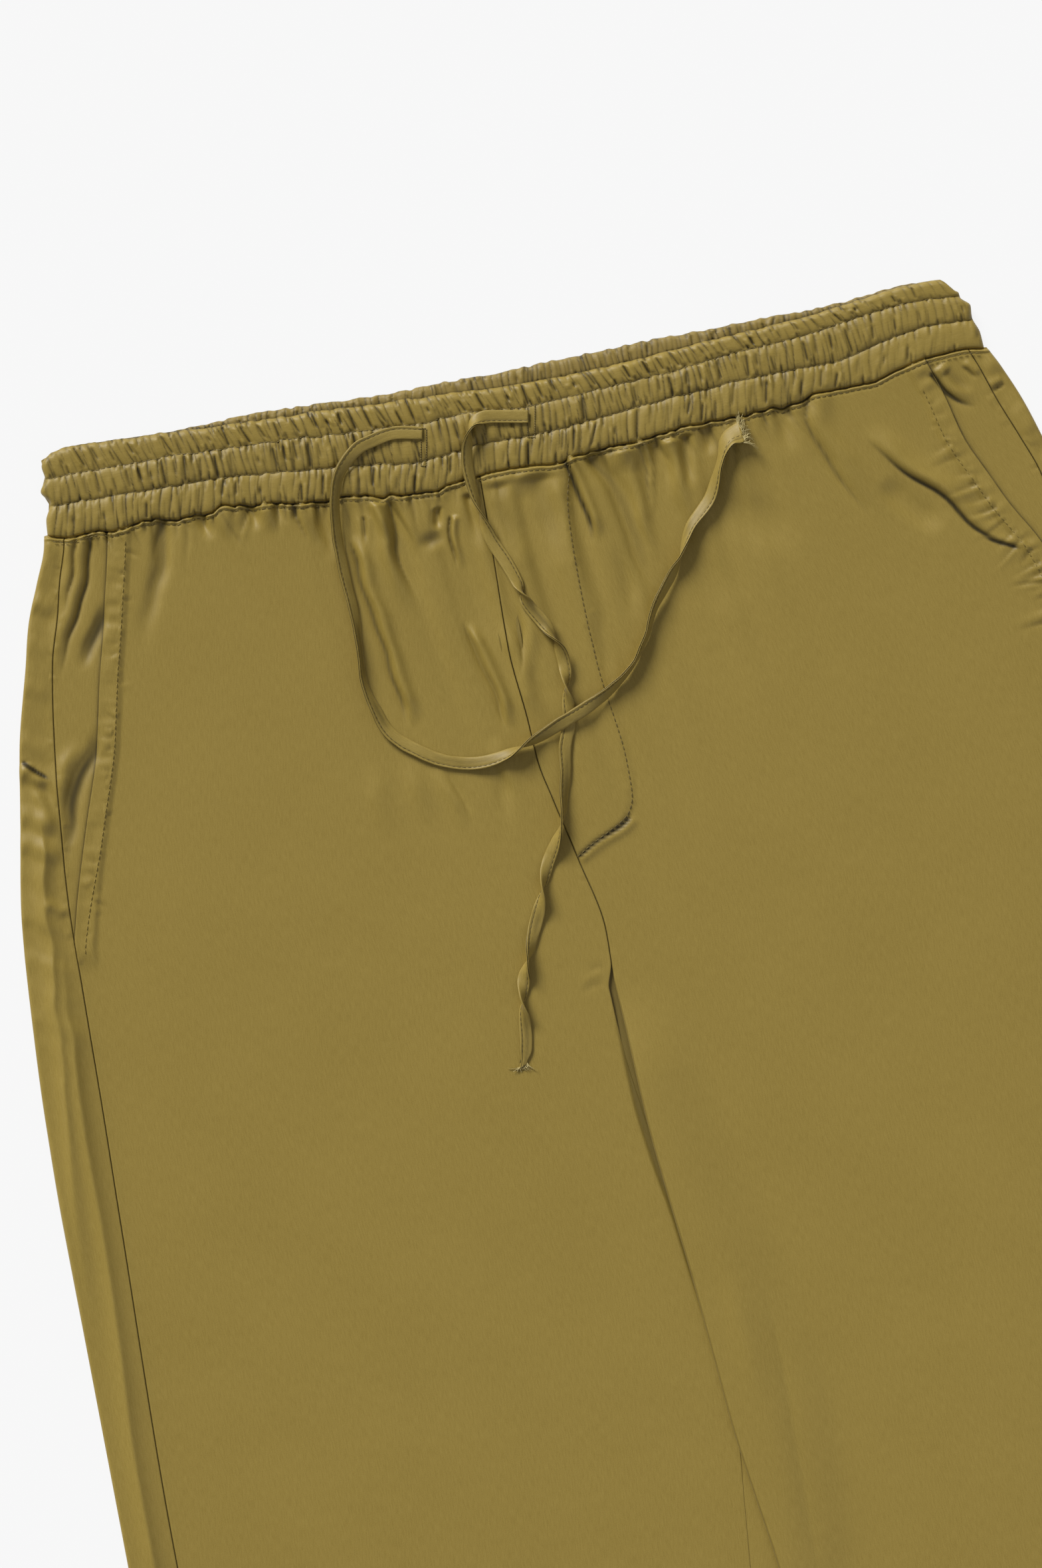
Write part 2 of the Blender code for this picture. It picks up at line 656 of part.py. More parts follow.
def fly_facing(collection):
    """The mock fly's inner layer, which ends in a curve like a J."""
    rows = []
    for row, drop in enumerate(ROWS):
        if drop > FLY_END:
            break
        start = float(look_up(CENTRE_SEAM, "x", drop)) + 2 * GAP
        end = float(look_up(FLY_EDGE, "x", drop)) - FLY_EDGE_INSET
        rows.append(plan_points(row, np.linspace(start, end, FACING_CELLS + 1), FLAT_LEVEL))
    tip = len(rows)
    start = float(look_up(CENTRE_SEAM, "x", ROWS[tip])) + 2 * GAP
    tip_x = np.linspace(start, start + FLY_TIP_WIDTH, FACING_CELLS + 1)
    rows.append(plan_points(tip, tip_x, FLAT_LEVEL) + np.array((0.0, FLY_TIP_SHORT, 0.0)) * MM)
    numbers = number_rows(rows)
    faces = []
    for upper, lower in zip(numbers, numbers[1:]):
        link_rows(faces, upper, lower)
    cloth_wall("fly_facing", rows, [face[::-1] for face in faces], collection, SATIN_INSIDE)


def slow_wave(shape, along, channel):
    """A slow wave along the band, given as its size, its number of waves and its shift by channel."""
    size, waves, shift = shape
    return size * np.sin(2 * np.pi * (waves * along + shift * channel))


def gather_wave(along, lean, channel):
    """The gathers' wave at a place along the band, -1 to 1. The lean slants them within a channel."""
    wander = sum(slow_wave(shape, along, channel) for shape in GATHER_WANDER)
    swell = 1 - GATHER_SWELL[0] + slow_wave(GATHER_SWELL, along, channel)
    return swell * np.cos(2 * np.pi * (GATHERS * (along + wander) + lean))


def band_solid(name, lines, base, columns, collection, colour=SATIN):
    """A waistband half: domed lines, each running from one end to the other, closed by a flat base."""
    along = np.concatenate(((0.0,), np.linspace(BAND_END_STEP, 1 - BAND_END_STEP, columns - 1), (1.0,)))
    rows = []
    for line in lines:
        left = -look_up(BAND_ENDS, "right", line.across, "across")
        right = look_up(BAND_ENDS, "left", line.across, "across")
        x = left + along * (right - left)
        z = line.level + line.depth * gather_wave(along, line.lean, line.channel)
        z = np.where(line.level > base, z, base)
        z[0] = z[-1] = base
        rows.append(np.stack((x, WAIST_Y + line.height(x), z), axis=1) * MM)
    numbers = number_rows(rows)
    faces = []
    for lower, upper in zip(numbers, numbers[1:]):
        faces += [(lower[i], lower[i + 1], upper[i + 1], upper[i]) for i in range(len(lower) - 1)]
    first, last = numbers[0], numbers[-1]
    faces += [(first[i + 1], first[i], last[i], last[i + 1]) for i in range(1, len(first) - 2)]
    faces.append(tuple([first[1]] + [row[0] for row in numbers] + [last[1]]))
    faces.append(tuple([last[-2]] + [row[-1] for row in numbers[::-1]] + [first[-2]]))
    mesh = bpy.data.meshes.new(name)
    mesh.from_pydata(np.concatenate(rows).tolist(), [], faces)
    mesh.update()
    mesh.shade_smooth()
    add_object(name, mesh, colour, collection)


def between(low, high, share, offset=0.0):
    """A line of the band part of the way from one of its lines to another, as a function of x."""
    return lambda x: band_line(low, x) * (1 - share) + band_line(high, x) * share + offset


def waistband_front(collection):
    """Front half of the waistband: three gathered channels between lines of stitching."""
    lines = (
        BandLine(0.0, between("seam", "seam", 0, GAP / 2), BAND_BASE, 0, 0, 0),
        BandLine(0.03, between("seam", "seam", 0, SHOULDER_HEIGHT), BAND_SHOULDER, 0.2, 0.1, 0),
        BandLine(0.18, between("seam", "low_stitch", 0.5), BAND_CHANNEL, GATHER_DEPTH, 0.25, 0),
        BandLine(0.37, between("seam", "low_stitch", 1), BAND_STITCH, 0.25, 0.4, 0),
        BandLine(0.52, between("low_stitch", "high_stitch", 0.5), BAND_CHANNEL, GATHER_DEPTH, 0.0, 1),
        BandLine(0.70, between("low_stitch", "high_stitch", 1), BAND_STITCH, 0.25, -0.1, 1),
        BandLine(0.86, between("high_stitch", "front_top", 0.5), BAND_CHANNEL, GATHER_DEPTH, -0.25, 2),
        BandLine(1.0, between("high_stitch", "front_top", 1), BAND_BASE, 0, 0, 2),
    )
    band_solid("waistband_front", lines, BAND_BASE, 3 * GATHERS, collection)


def waistband_back(collection):
    """Back half of the waistband, whose inside shows as a strip above the front."""
    lines = (
        BandLine(0.0, between("seam", "seam", 0, GAP / 2), 0.0, 0, 0, 0),
        BandLine(0.03, between("seam", "seam", 0, SHOULDER_HEIGHT), BAND_BACK_TOP, 0, 0, 0),
        BandLine(0.86, between("front_top", "back_top", 0, -2.0), BAND_BACK_TOP, 0, 0, 3),
        BandLine(0.97, between("front_top", "back_top", 0.6), 1.7, 0.45, 0.0, 3),
        BandLine(1.0, between("front_top", "back_top", 1), 0.0, 0, 0, 3),
    )
    band_solid("waistband_back", lines, 0.0, 2 * GATHERS, collection, SATIN_INSIDE)


def garment_top(x, drop):
    """Height of the garment's upper side under the drawstring."""
    front = np.where(
        x < look_up(CENTRE_SEAM, "x", drop),
        front_level("right", x, drop),
        front_level("left", x, drop),
    )
    height = -drop - band_line("seam", x)
    on_band = ease((height + LIFT_STEP) / BAND_STEP)
    return front * (1 - on_band) + on_band * (BAND_CHANNEL + GATHER_DEPTH)


def highest_near(x, drop):
    """The garment's highest level within half a ribbon's width of each place."""
    reach = CORD_WIDTH / 2 + CORD_THICK
    steps = [(dx, dd) for dx in (-reach, 0, reach) for dd in (-reach, 0, reach)]
    return np.max([garment_top(x + dx, drop + dd) for dx, dd in steps], axis=0)


def spread(values, reach, how):
    """A running maximum or mean of the values over a few neighbours each way."""
    padded = np.pad(values, reach, mode="edge")
    windows = np.lib.stride_tricks.sliding_window_view(padded, 2 * reach + 1)
    return how(windows, axis=1)


def strand_path(route, count):
    """Evenly spaced places along a smooth curve through the route: x, drop, tilt and distance."""
    stops = np.array(route, float)
    chord = np.concatenate(((0.0,), np.cumsum(np.hypot(*np.diff(stops[:, :2], axis=0).T))))
    fine = np.linspace(0, chord[-1], CORD_FINE * count)
    i = np.clip(np.searchsorted(chord, fine) - 1, 0, len(chord) - 2)
    t = ((fine - chord[i]) / (chord[i + 1] - chord[i]))[:, None]
    ring = np.concatenate((2 * stops[:1] - stops[1:2], stops, 2 * stops[-1:] - stops[-2:-1]))
    a, b, c, d = (ring[i + k] for k in range(4))
    curve = b + t * ((c - a) / 2 + t * (a - 2.5 * b + 2 * c - d / 2 + t * (1.5 * (b - c) + (d - a) / 2)))
    run = np.concatenate(((0.0,), np.cumsum(np.hypot(*np.diff(curve[:, :2], axis=0).T))))
    even = np.linspace(0, run[-1], count)
    return [np.interp(even, run, curve[:, k]) for k in range(3)] + [even]


def ribbon(name, x, drop, tilt, extra, collection):
    """A flat ribbon on the garment: a thin oblong section along the path, turned by the tilt."""
    lift = np.abs(np.sin(tilt)) * CORD_WIDTH / 2 + np.abs(np.cos(tilt)) * CORD_THICK / 2
    floor = spread(spread(highest_near(x, drop), CORD_EVENING, np.max), CORD_EVENING, np.mean)
    z = floor + CORD_CLEARANCE + lift + extra
    curve = bpy.data.curves.new(name, "CURVE")
    curve.dimensions = "3D"
    curve.twist_mode = "Z_UP"
    curve.bevel_depth = CORD_THICK / 2 * MM
    curve.extrude = (CORD_WIDTH - CORD_THICK) / 2 * MM
    curve.bevel_resolution = 2
    curve.use_fill_caps = True
    spline = curve.splines.new("POLY")
    spline.points.add(len(x) - 1)
    points = np.stack((x, WAIST_Y - drop, z, np.full_like(x, 1 / MM)), axis=1) * MM
    spline.points.foreach_set("co", points.ravel())
    spline.points.foreach_set("tilt", tilt + np.pi / 2)
    spline.use_smooth = True
    add_object(name, curve, RIBBON, collection)


def drawstrings(collection):
    """The two free ends. The left one lies mostly flat, and the right one turns over and over."""
    x, drop, tilt, _ = strand_path(LEFT_STRAND, LEFT_STRAND_POINTS)
    away = np.hypot(x - CORD_CROSSING[0], drop - CORD_CROSSING[1])
    hump = CORD_HUMP * np.exp(-((away / CORD_HUMP_REACH) ** 2))
    ribbon("drawstring_left", x, drop, np.radians(tilt), hump, collection)
    x, drop, _, run = strand_path(RIGHT_STRAND, RIGHT_STRAND_POINTS)
    past = run - run[np.argmin(np.hypot(x - CORD_CROSSING[0], drop - CORD_CROSSING[1]))]
    turning = np.sign(past) * np.maximum(np.abs(past) - CORD_FLAT_REACH, 0.0)
    tilt = np.pi * np.maximum(turning / CORD_HALF_TURN, -CORD_TURNS_ABOVE)
    ribbon("drawstring_right", x, drop, tilt, np.zeros_like(x), collection)


def main():
    for old in list(bpy.data.objects):
        bpy.data.objects.remove(old)
    collection = bpy.data.collections.new(GARMENT)
    bpy.context.scene.collection.children.link(collection)
    back_right(collection)
    back_left(collection)
    for leg in ("right", "left"):
        pocket_facing(leg, collection)
    fly_facing(collection)
    front_right(collection)
    front_left(collection)
    waistband_back(collection)
    waistband_front(collection)
    drawstrings(collection)


main()
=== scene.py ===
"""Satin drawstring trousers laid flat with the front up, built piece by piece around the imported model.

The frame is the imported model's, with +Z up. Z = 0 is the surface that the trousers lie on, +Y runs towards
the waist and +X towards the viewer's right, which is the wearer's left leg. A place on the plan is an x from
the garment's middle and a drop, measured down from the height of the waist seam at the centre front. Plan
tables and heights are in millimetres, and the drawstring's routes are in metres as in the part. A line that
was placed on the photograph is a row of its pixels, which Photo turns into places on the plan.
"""

import logging
import math
from dataclasses import dataclass, field
from enum import Enum
from typing import Callable, Sequence

import bpy
import numpy as np
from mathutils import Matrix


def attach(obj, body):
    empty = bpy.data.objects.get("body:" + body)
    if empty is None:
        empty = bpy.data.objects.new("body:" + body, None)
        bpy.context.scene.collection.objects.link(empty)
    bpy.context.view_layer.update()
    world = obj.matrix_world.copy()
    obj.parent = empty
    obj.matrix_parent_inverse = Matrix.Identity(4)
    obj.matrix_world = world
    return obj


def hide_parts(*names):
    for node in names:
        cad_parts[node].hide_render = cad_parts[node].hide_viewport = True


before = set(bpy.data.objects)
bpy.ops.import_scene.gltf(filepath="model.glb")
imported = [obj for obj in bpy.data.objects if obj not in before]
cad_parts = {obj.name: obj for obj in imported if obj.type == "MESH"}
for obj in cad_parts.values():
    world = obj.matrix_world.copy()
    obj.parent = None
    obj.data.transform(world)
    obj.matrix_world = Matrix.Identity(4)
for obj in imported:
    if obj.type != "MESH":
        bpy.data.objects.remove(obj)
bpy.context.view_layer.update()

log = logging.getLogger("trousers")

Array = np.ndarray
Piece = bpy.types.Object
Socket = bpy.types.NodeSocket
Pixels = tuple[tuple[float, float], ...]

MM = 0.001
WAIST_Y = 471.0  # of the waist seam at the centre front, from the frame's middle
FLAT_LEVEL = 2.3  # the front's upper side where both layers lie flat
LEAST_LEVEL = 1.2  # as deep as a fold can press the front
CROTCH_DROP = 238.0
SEAM_CURVE_REACH = 60.0  # the rows above this drop follow the waist seam's curve
WAIST_PUFF = 2.0
WAIST_PUFF_REACH = 40.0
EDGE_PUFF = 0.8
EDGE_PUFF_REACH = 15.0
POCKET_TUCK = 8.0  # how far a pocket's backing runs under the front
POCKET_END = 178.0
POCKET_SEWING = 8.2  # from the pocket's mouth in to its topstitch
FLY_END = 165.0
LEG_LIFT = 3.1  # how far the left leg's inner edge rides up on the right leg
LEG_LIFT_FALL = 32.0
LEG_LIFT_START = (238.0, 284.0)
LEG_LIFT_END = (518.0, 600.0)
INNER_RETURN = 6.0
SEAM_RADIUS = 0.45  # half the height of a turned-in edge
SEAM_TURN = 3.0  # how far a turned-in edge runs back under
SEAM_SHADE = 0.35  # the share of painted crease shade on a turned-in edge
HEM_RADIUS = 0.5
HEM_TURN = 9.0
HEM_SEWING_DROP = 970.0
ROLL_ANGLES = np.radians(np.linspace(0.0, 180.0, 7))[1:]
MOUTH_LIFT = 1.0  # how far a pocket's backing holds up the front
FLY_LIFT = 0.75
LIFT_FALL = 3.5
DRAPE_DEPTH = 3.4
FOLD_GAIN = 2.7  # from the depths written beside the folds to those that read as in the photograph
DARK_GAIN = 1.4  # the same for the painted shade along them
NARROW_SHADE = 0.95  # half the width of the painted shade along a sharp fold
BAND_FROM, BAND_TO = -212.0, 214.0  # the stretch of the band that has gathers
CORD_WIDTH = 5.8
CORD_THICK = 1.0
CORD_GAP = 0.05  # between the ribbon and what it lies on
EDGE_SEWING = 1.75  # from the ribbon's middle to its stitching


class Side(Enum):
    """The wearer's side, as the sign of x."""

    RIGHT = -1
    LEFT = 1


class FoldShape(Enum):
    """How a fold's section runs across its line."""

    HOLLOW = "a round hollow"
    RIDGE = "a round ridge"
    CREASE = "a sharp narrow valley"
    TUCK = "a sharp valley with a ridge along its right side"
    TUCK_LEFT = "a sharp valley with a ridge along its left side"
    ROOF = "two slopes that meet in a ridge"


@dataclass(frozen=True)
class Photo:
    """The photograph's plan: where a pixel lies on the garment."""

    width: int = 1568
    height: int = 2359
    pixel: float = 0.30
    turn: float = math.radians(10.8)
    anchor: tuple[float, float] = (722.0, 712.0)
    anchor_x: float = -18.0

    def plan(self, pixels: Sequence[tuple[float, float]]) -> Array:
        """Places on the plan under some pixels: the picture turned about an anchor and scaled.

        Args:
            pixels: Columns and rows of the picture.

        Returns:
            One row of x and drop for each pixel, in millimetres.
        """
        across, down = (np.asarray(pixels, float) - self.anchor).T
        x = (across * math.cos(self.turn) - down * math.sin(self.turn)) * self.pixel + self.anchor_x
        drop = (across * math.sin(self.turn) + down * math.cos(self.turn)) * self.pixel
        return np.stack((x, drop), axis=-1)


PHOTO = Photo()


def ease(t: Array) -> Array:
    """From 0 to 1 with level ends, and flat outside."""
    t = np.clip(t, 0.0, 1.0)
    return t * t * (3 - 2 * t)


def rise(at: Array, stretch: tuple[float, float]) -> Array:
    """From 0 at the start of a stretch to 1 at its end, with level ends."""
    return ease((at - stretch[0]) / (stretch[1] - stretch[0]))


def rounded(inside: Array, reach: float) -> Array:
    """A quarter circle from 0 at an end to 1 at a reach inside it."""
    return np.sqrt(np.clip(1 - (1 - np.minimum(inside / reach, 1.0)) ** 2, 0, 1))


def smooth_curve(at: Array, places: Array, values: Array) -> Array:
    """A curve through the points that never swings past them: a cubic with harmonic mean slopes.

    Args:
        at: Where the curve is read.
        places: The points' places, rising.
        values: The points' values.

    Returns:
        The curve's value at each place asked for.
    """
    step = np.diff(places)
    slope = np.diff(values) / step
    product = slope[:-1] * slope[1:]
    total = np.where(product > 0, slope[:-1] + slope[1:], 1.0)
    tangent = np.zeros_like(values)
    tangent[1:-1] = np.where(product > 0, 2 * product / total, 0.0)
    tangent[0], tangent[-1] = slope[0], slope[-1]
    at = np.clip(at, places[0], places[-1])
    i = np.clip(np.searchsorted(places, at) - 1, 0, len(step) - 1)
    t = (at - places[i]) / step[i]
    ends = (1 + 2 * t) * (1 - t) ** 2 * values[i] + t**2 * (3 - 2 * t) * values[i + 1]
    slopes = t * (1 - t) ** 2 * tangent[i] - t**2 * (1 - t) * tangent[i + 1]
    return ends + step[i] * slopes


def soft_floor(height: Array, least: float) -> Array:
    """Heights kept above a least one, easing towards it where they would go below."""
    return least + np.logaddexp(0.0, 3.0 * (height - least)) / 3.0


def unit(vectors: Array) -> Array:
    """Each row scaled to a length of 1."""
    return vectors / np.linalg.norm(vectors, axis=1, keepdims=True)


def distances(points: Array) -> Array:
    """How far along a line each of its points lies."""
    return np.concatenate(((0.0,), np.cumsum(np.linalg.norm(np.diff(points, axis=0), axis=1))))


@dataclass(frozen=True)
class Line:
    """A line of the cut: a value at each of a few places, joined by a smooth curve."""

    places: tuple[float, ...]
    values: tuple[float, ...]

    def at(self, where: Array) -> Array:
        """The line's value at each place."""
        places, values = np.array(self.places, float), np.array(self.values, float)
        return smooth_curve(np.asarray(where, float), places, values)


@dataclass(frozen=True)
class SideCut:
    """The lines of one side of the garment, each a distance from its middle at a drop."""

    edge: Line
    seam: Line
    mouth: Line


@dataclass(frozen=True)
class Contour:
    """A line across the waistband that was placed on the photograph, read as a height at an x."""

    pixels: Pixels

    def at(self, x: Array) -> Array:
        """The line's height above the waist seam at the centre front."""
        places = PHOTO.plan(self.pixels)
        places = places[np.argsort(places[:, 0])]
        return smooth_curve(np.asarray(x, float), places[:, 0], -places[:, 1])


SIDE_DROPS = (-13, -4, 12, 29, 48, 81, 114, 163, 198, 251, 300, 454, 700, 990)
MOUTH_DROPS = (-12, 4, 25, 43, 58, 78, 93, 124, 155, 178)
CUT = {
    Side.RIGHT: SideCut(
        Line(SIDE_DROPS, (216, 217.5, 224, 231, 236, 245, 251, 259.5, 262.5, 265.5, 266.5, 266.5, 262, 252)),
        Line(SIDE_DROPS, (207, 208, 213, 217.5, 223.3, 229, 233, 237, 237.8, 239, 240.5, 244.5, 243, 236)),
        Line(MOUTH_DROPS, (186.5, 189.8, 195, 199.5, 203.6, 208.3, 212, 222.5, 232.4, 238.5)),
    ),
    Side.LEFT: SideCut(
        Line(
            SIDE_DROPS,
            (217.5, 222, 228.7, 234, 239.5, 246, 251, 259.5, 262.5, 265.5, 266.5, 266.5, 262, 252),
        ),
        Line(SIDE_DROPS, (209, 212.5, 217.8, 224.4, 231, 236, 239.5, 242, 243, 244, 244.5, 246, 243, 236)),
        Line(MOUTH_DROPS, (189, 194.3, 199.5, 207.4, 214.3, 225.3, 230.5, 237, 241, 243.5)),
    ),
}
CENTRE_SEAM = Line(
    (-5, 38, 81, 113, 132, 151, 179, 214, 238),
    (-18, -19, -20, -17.5, -16.6, -13, -7, -0.6, -1.4),
)
FLY_EDGE = Line(
    (-5, 3, 20, 39, 74, 101, 134, 147, 157, 165, 179, 195),
    (23, 22.5, 18.4, 17, 17, 18.4, 22.5, 22.7, 21.5, 17, -7.8, -36),
)
INNER_DROPS = (238, 262, 300, 340, 371, 410, 445, 480, 511, 560, 700, 990)
LEFT_FOLD = Line(INNER_DROPS, (-1.2, -0.2, 1.2, 4.6, 7.7, 10.8, 13.5, 18, 22, 25, 30, 38))
RIGHT_FOLD = Line(INNER_DROPS, (-1.7, -0.8, 4.2, 11, 18, 24, 27, 25.5, 23, 17, 7, -10))
RIGHT_INSEAM = Line(INNER_DROPS, (-4.6, -3.6, 0.6, 7, 11.5, 14.2, 15, 12, 9, 5, -6, -22))
GAP_EDGE = Line((251, 290, 323, 345, 372, 396), (-4.9, -4.0, -0.4, 3.4, 6.6, 9.7))

BAND_RIGHT_END = Line(
    (0.0, 0.18, 0.37, 0.52, 0.68, 0.84, 0.95, 1.0),
    (215, 214.3, 211.2, 214.3, 211.2, 211.8, 210, 206.5),
)
BAND_LEFT_END = Line(
    (0.0, 0.18, 0.37, 0.52, 0.66, 0.8, 0.94, 1.0),
    (216.2, 215.8, 213.4, 213.8, 209.8, 209.6, 207, 202.5),
)

WAIST_SEAM = Contour(
    ((72, 809), (105, 810), (139, 802), (168, 800), (207, 788), (231, 781), (250, 783), (282, 779))
    + ((319, 771), (335, 761), (372, 761), (420, 758), (480, 755), (514, 749), (558, 747), (577, 749))
    + ((616, 744), (650, 741), (681, 728), (717, 718), (747, 710), (795, 703), (846, 698), (870, 684))
    + ((944, 668), (1043, 640), (1099, 629), (1204, 606), (1223, 594), (1309, 577), (1350, 558))
    + ((1409, 536), (1442, 528), (1484, 525)),
)
LOW_STITCH = Contour(
    ((76, 762), (137, 752), (239, 736), (307, 724), (362, 717), (420, 711), (480, 707), (541, 701))
    + ((630, 696), (688, 681), (717, 670), (795, 657), (860, 642), (932, 621), (1054, 588), (1165, 563))
    + ((1254, 546), (1326, 516), (1398, 491), (1461, 482)),
)
HIGH_STITCH = Contour(
    ((69, 721), (161, 705), (241, 690), (331, 677), (420, 664), (480, 657), (553, 648), (640, 637))
    + ((698, 623), (797, 612), (860, 597), (921, 582), (1010, 560), (1121, 528), (1198, 509), (1281, 482))
    + ((1364, 457), (1442, 446)),
)
FRONT_TOP = Contour(
    ((68, 685), (105, 672), (156, 665), (239, 653), (304, 644), (420, 628), (480, 618), (577, 606))
    + ((681, 591), (764, 581), (860, 563), (960, 540), (1054, 516), (1160, 490), (1221, 474), (1300, 449))
    + ((1350, 433), (1385, 425), (1413, 421), (1436, 434)),
)
BACK_TOP = Contour(
    ((120, 669), (180, 661), (240, 652), (300, 640), (360, 626), (420, 616), (480, 607), (540, 599))
    + ((600, 589), (660, 576), (720, 566), (780, 554), (840, 540), (900, 528), (960, 515), (1020, 503))
    + ((1080, 492), (1140, 480), (1200, 469), (1260, 456), (1320, 439), (1380, 424)),
)


def wobble(at: Array, spacing: float, size: float, seed: int) -> Array:
    """A smooth irregular wave: random values a spacing apart, joined by eased steps.

    Args:
        at: Where the wave is read, in millimetres.
        spacing: Distance between the random values.
        size: The values run from minus this to this.
        seed: Picks the wave.

    Returns:
        The wave's value at each place.
    """
    values = np.random.default_rng(seed).uniform(-size, size, 4096)
    cell = np.asarray(at, float) / spacing + 2048
    low = np.floor(cell).astype(int)
    share = ease(cell - low)
    return values[low] * (1 - share) + values[low + 1] * share


def gathering(x: Array) -> Array:
    """How strongly the elastic gathers the cloth at an x, 0 to 1: little at the fly and the left pocket."""
    at_fly = np.exp(-(((x - 2.0) / 21.0) ** 4))
    at_left_pocket = ease((x - 112.0) / 30.0)
    at_right_side = ease((-x - 185.0) / 15.0)
    return (1 - 0.85 * at_fly) * (1 - 0.8 * at_left_pocket) * (1 - 0.3 * at_right_side)


def seam_height(x: Array) -> Array:
    """Height of the waist seam above its height at the centre front, with its small steps and ripples."""
    return WAIST_SEAM.at(x) + gathering(x) * (wobble(x, 4.2, 0.7, 11) + wobble(x, 1.9, 0.3, 12))


def row_drop(row: Array, x: Array) -> Array:
    """Drop of a row of cloth at x: rows near the waist follow the seam, and those below run level.

    Args:
        row: Distance of the row under the waist seam, in millimetres.
        x: Places along it.

    Returns:
        The drop at each place.
    """
    follow = 1 - ease(row / SEAM_CURVE_REACH)
    return row - follow * seam_height(x)


@dataclass(frozen=True)
class Fold:
    """A fold along a line on the plan.

    Its section is one of the fold shapes, a few of its widths across. It fades in and out at its ends, over
    the shares of its length that fade gives, and dark is how strongly painted shade darkens its line.
    """

    line: Array
    shape: FoldShape
    width: float
    depth: float
    fade: tuple[float, float] = (0.3, 0.4)
    dark: float = 0.0

    def section(self, away: Array) -> Array:
        """Height across the line, given the distance from it, which is positive on its right."""
        share = away / self.width
        if self.shape is FoldShape.HOLLOW:
            return -np.exp(-(share**2))
        if self.shape is FoldShape.RIDGE:
            return np.exp(-(share**2))
        if self.shape is FoldShape.CREASE:
            return -np.exp(-np.abs(share) * 1.6) + 0.25 * np.exp(-((np.abs(share) - 1.8) ** 2))
        if self.shape is FoldShape.ROOF:
            return np.exp(0.17 - np.sqrt(share**2 + 0.03))
        ridge_side = 1 if self.shape is FoldShape.TUCK else -1
        ridge = np.exp(-(((share * ridge_side - 1.5) / 1.4) ** 2))
        return 0.72 * ridge - 0.85 * np.exp(-np.abs(share) * 2.0)

    def press(self, x: Array, drop: Array, height: Array, crease: Array) -> None:
        """Adds the fold to heights and creases on the plan, worked out from the nearest place of its line.

        Args:
            x: Places on the plan.
            drop: Their drops.
            height: Their heights, added to in place.
            crease: How much painted shade they get from the fold, 0 to 1, added to in place.
        """
        reach = 4.5 * self.width
        low, high = self.line.min(axis=0) - reach, self.line.max(axis=0) + reach
        near = (x > low[0]) & (x < high[0]) & (drop > low[1]) & (drop < high[1])
        if not near.any():
            return
        at_x, at_drop = x[near], drop[near]
        steps, starts = np.diff(self.line, axis=0), distances(self.line)
        lengths = np.linalg.norm(steps, axis=1)
        best = np.full(at_x.shape, np.inf)
        along = np.zeros_like(at_x)
        for (from_x, from_drop), step, length, start in zip(self.line, steps, lengths, starts):
            share = ((at_x - from_x) * step[0] + (at_drop - from_drop) * step[1]) / length**2
            share = np.clip(share, 0.0, 1.0)
            away_x = at_x - from_x - share * step[0]
            away_drop = at_drop - from_drop - share * step[1]
            away = np.hypot(away_x, away_drop)
            away = np.where(away_x * step[1] - away_drop * step[0] >= 0, away, -away)
            closer = np.abs(away) < np.abs(best)
            best = np.where(closer, away, best)
            along = np.where(closer, (start + share * length) / starts[-1], along)
        fade = ease(along / self.fade[0] + 0.02) * ease((1 - along) / self.fade[1] + 0.02)
        height[near] += self.depth * fade * self.section(best)
        # Painted shade along the fold's line.
        if self.dark:
            broad = self.shape in (FoldShape.HOLLOW, FoldShape.RIDGE)
            shaded = 0.8 * self.width if broad else NARROW_SHADE
            crease[near] += self.dark * fade * np.exp(-((best / shaded) ** 2))


def smooth_line(points: Array, parts: int = 4) -> Array:
    """A smooth line through some points: a Catmull-Rom curve, cut into parts between each two points."""
    if len(points) < 3:
        return points
    ring = np.concatenate((2 * points[:1] - points[1:2], points, 2 * points[-1:] - points[-2:-1]))
    at = np.linspace(0, len(points) - 1, parts * (len(points) - 1) + 1)
    i = np.minimum(at.astype(int), len(points) - 2)
    t = (at - i)[:, None]
    a, b, c, d = (ring[i + k] for k in range(4))
    return b + t * ((c - a) / 2 + t * (a - 2.5 * b + 2 * c - d / 2 + t * (1.5 * (b - c) + (d - a) / 2)))


def fold_at(
    pixels: Pixels,
    shape: FoldShape,
    width: float,
    depth: float,
    fade: tuple[float, float] = (0.3, 0.4),
    dark: float = 0.0,
) -> Fold:
    """A fold placed on the photograph. One that fades in at once starts above the seam it comes out of.

    Args:
        pixels: The fold's line, down from the waist or out from the middle.
        shape: Its section.
        width: Its width, in millimetres.
        depth: Its depth before the gain.
        fade: The shares of its length over which it fades in and out.
        dark: How strongly painted shade darkens its line, before the gain.

    Returns:
        The fold on the plan.
    """
    places = PHOTO.plan(pixels)
    if fade[0] <= 0.05:
        ahead = places[0] - places[1]
        places = np.concatenate((places[:1] + 4.5 * ahead[None] / np.hypot(*ahead), places))
    return Fold(smooth_line(places), shape, width, FOLD_GAIN * depth, fade, DARK_GAIN * dark)


HOLLOW, RIDGE, CREASE, ROOF = FoldShape.HOLLOW, FoldShape.RIDGE, FoldShape.CREASE, FoldShape.ROOF
TUCK, TUCK_LEFT = FoldShape.TUCK, FoldShape.TUCK_LEFT
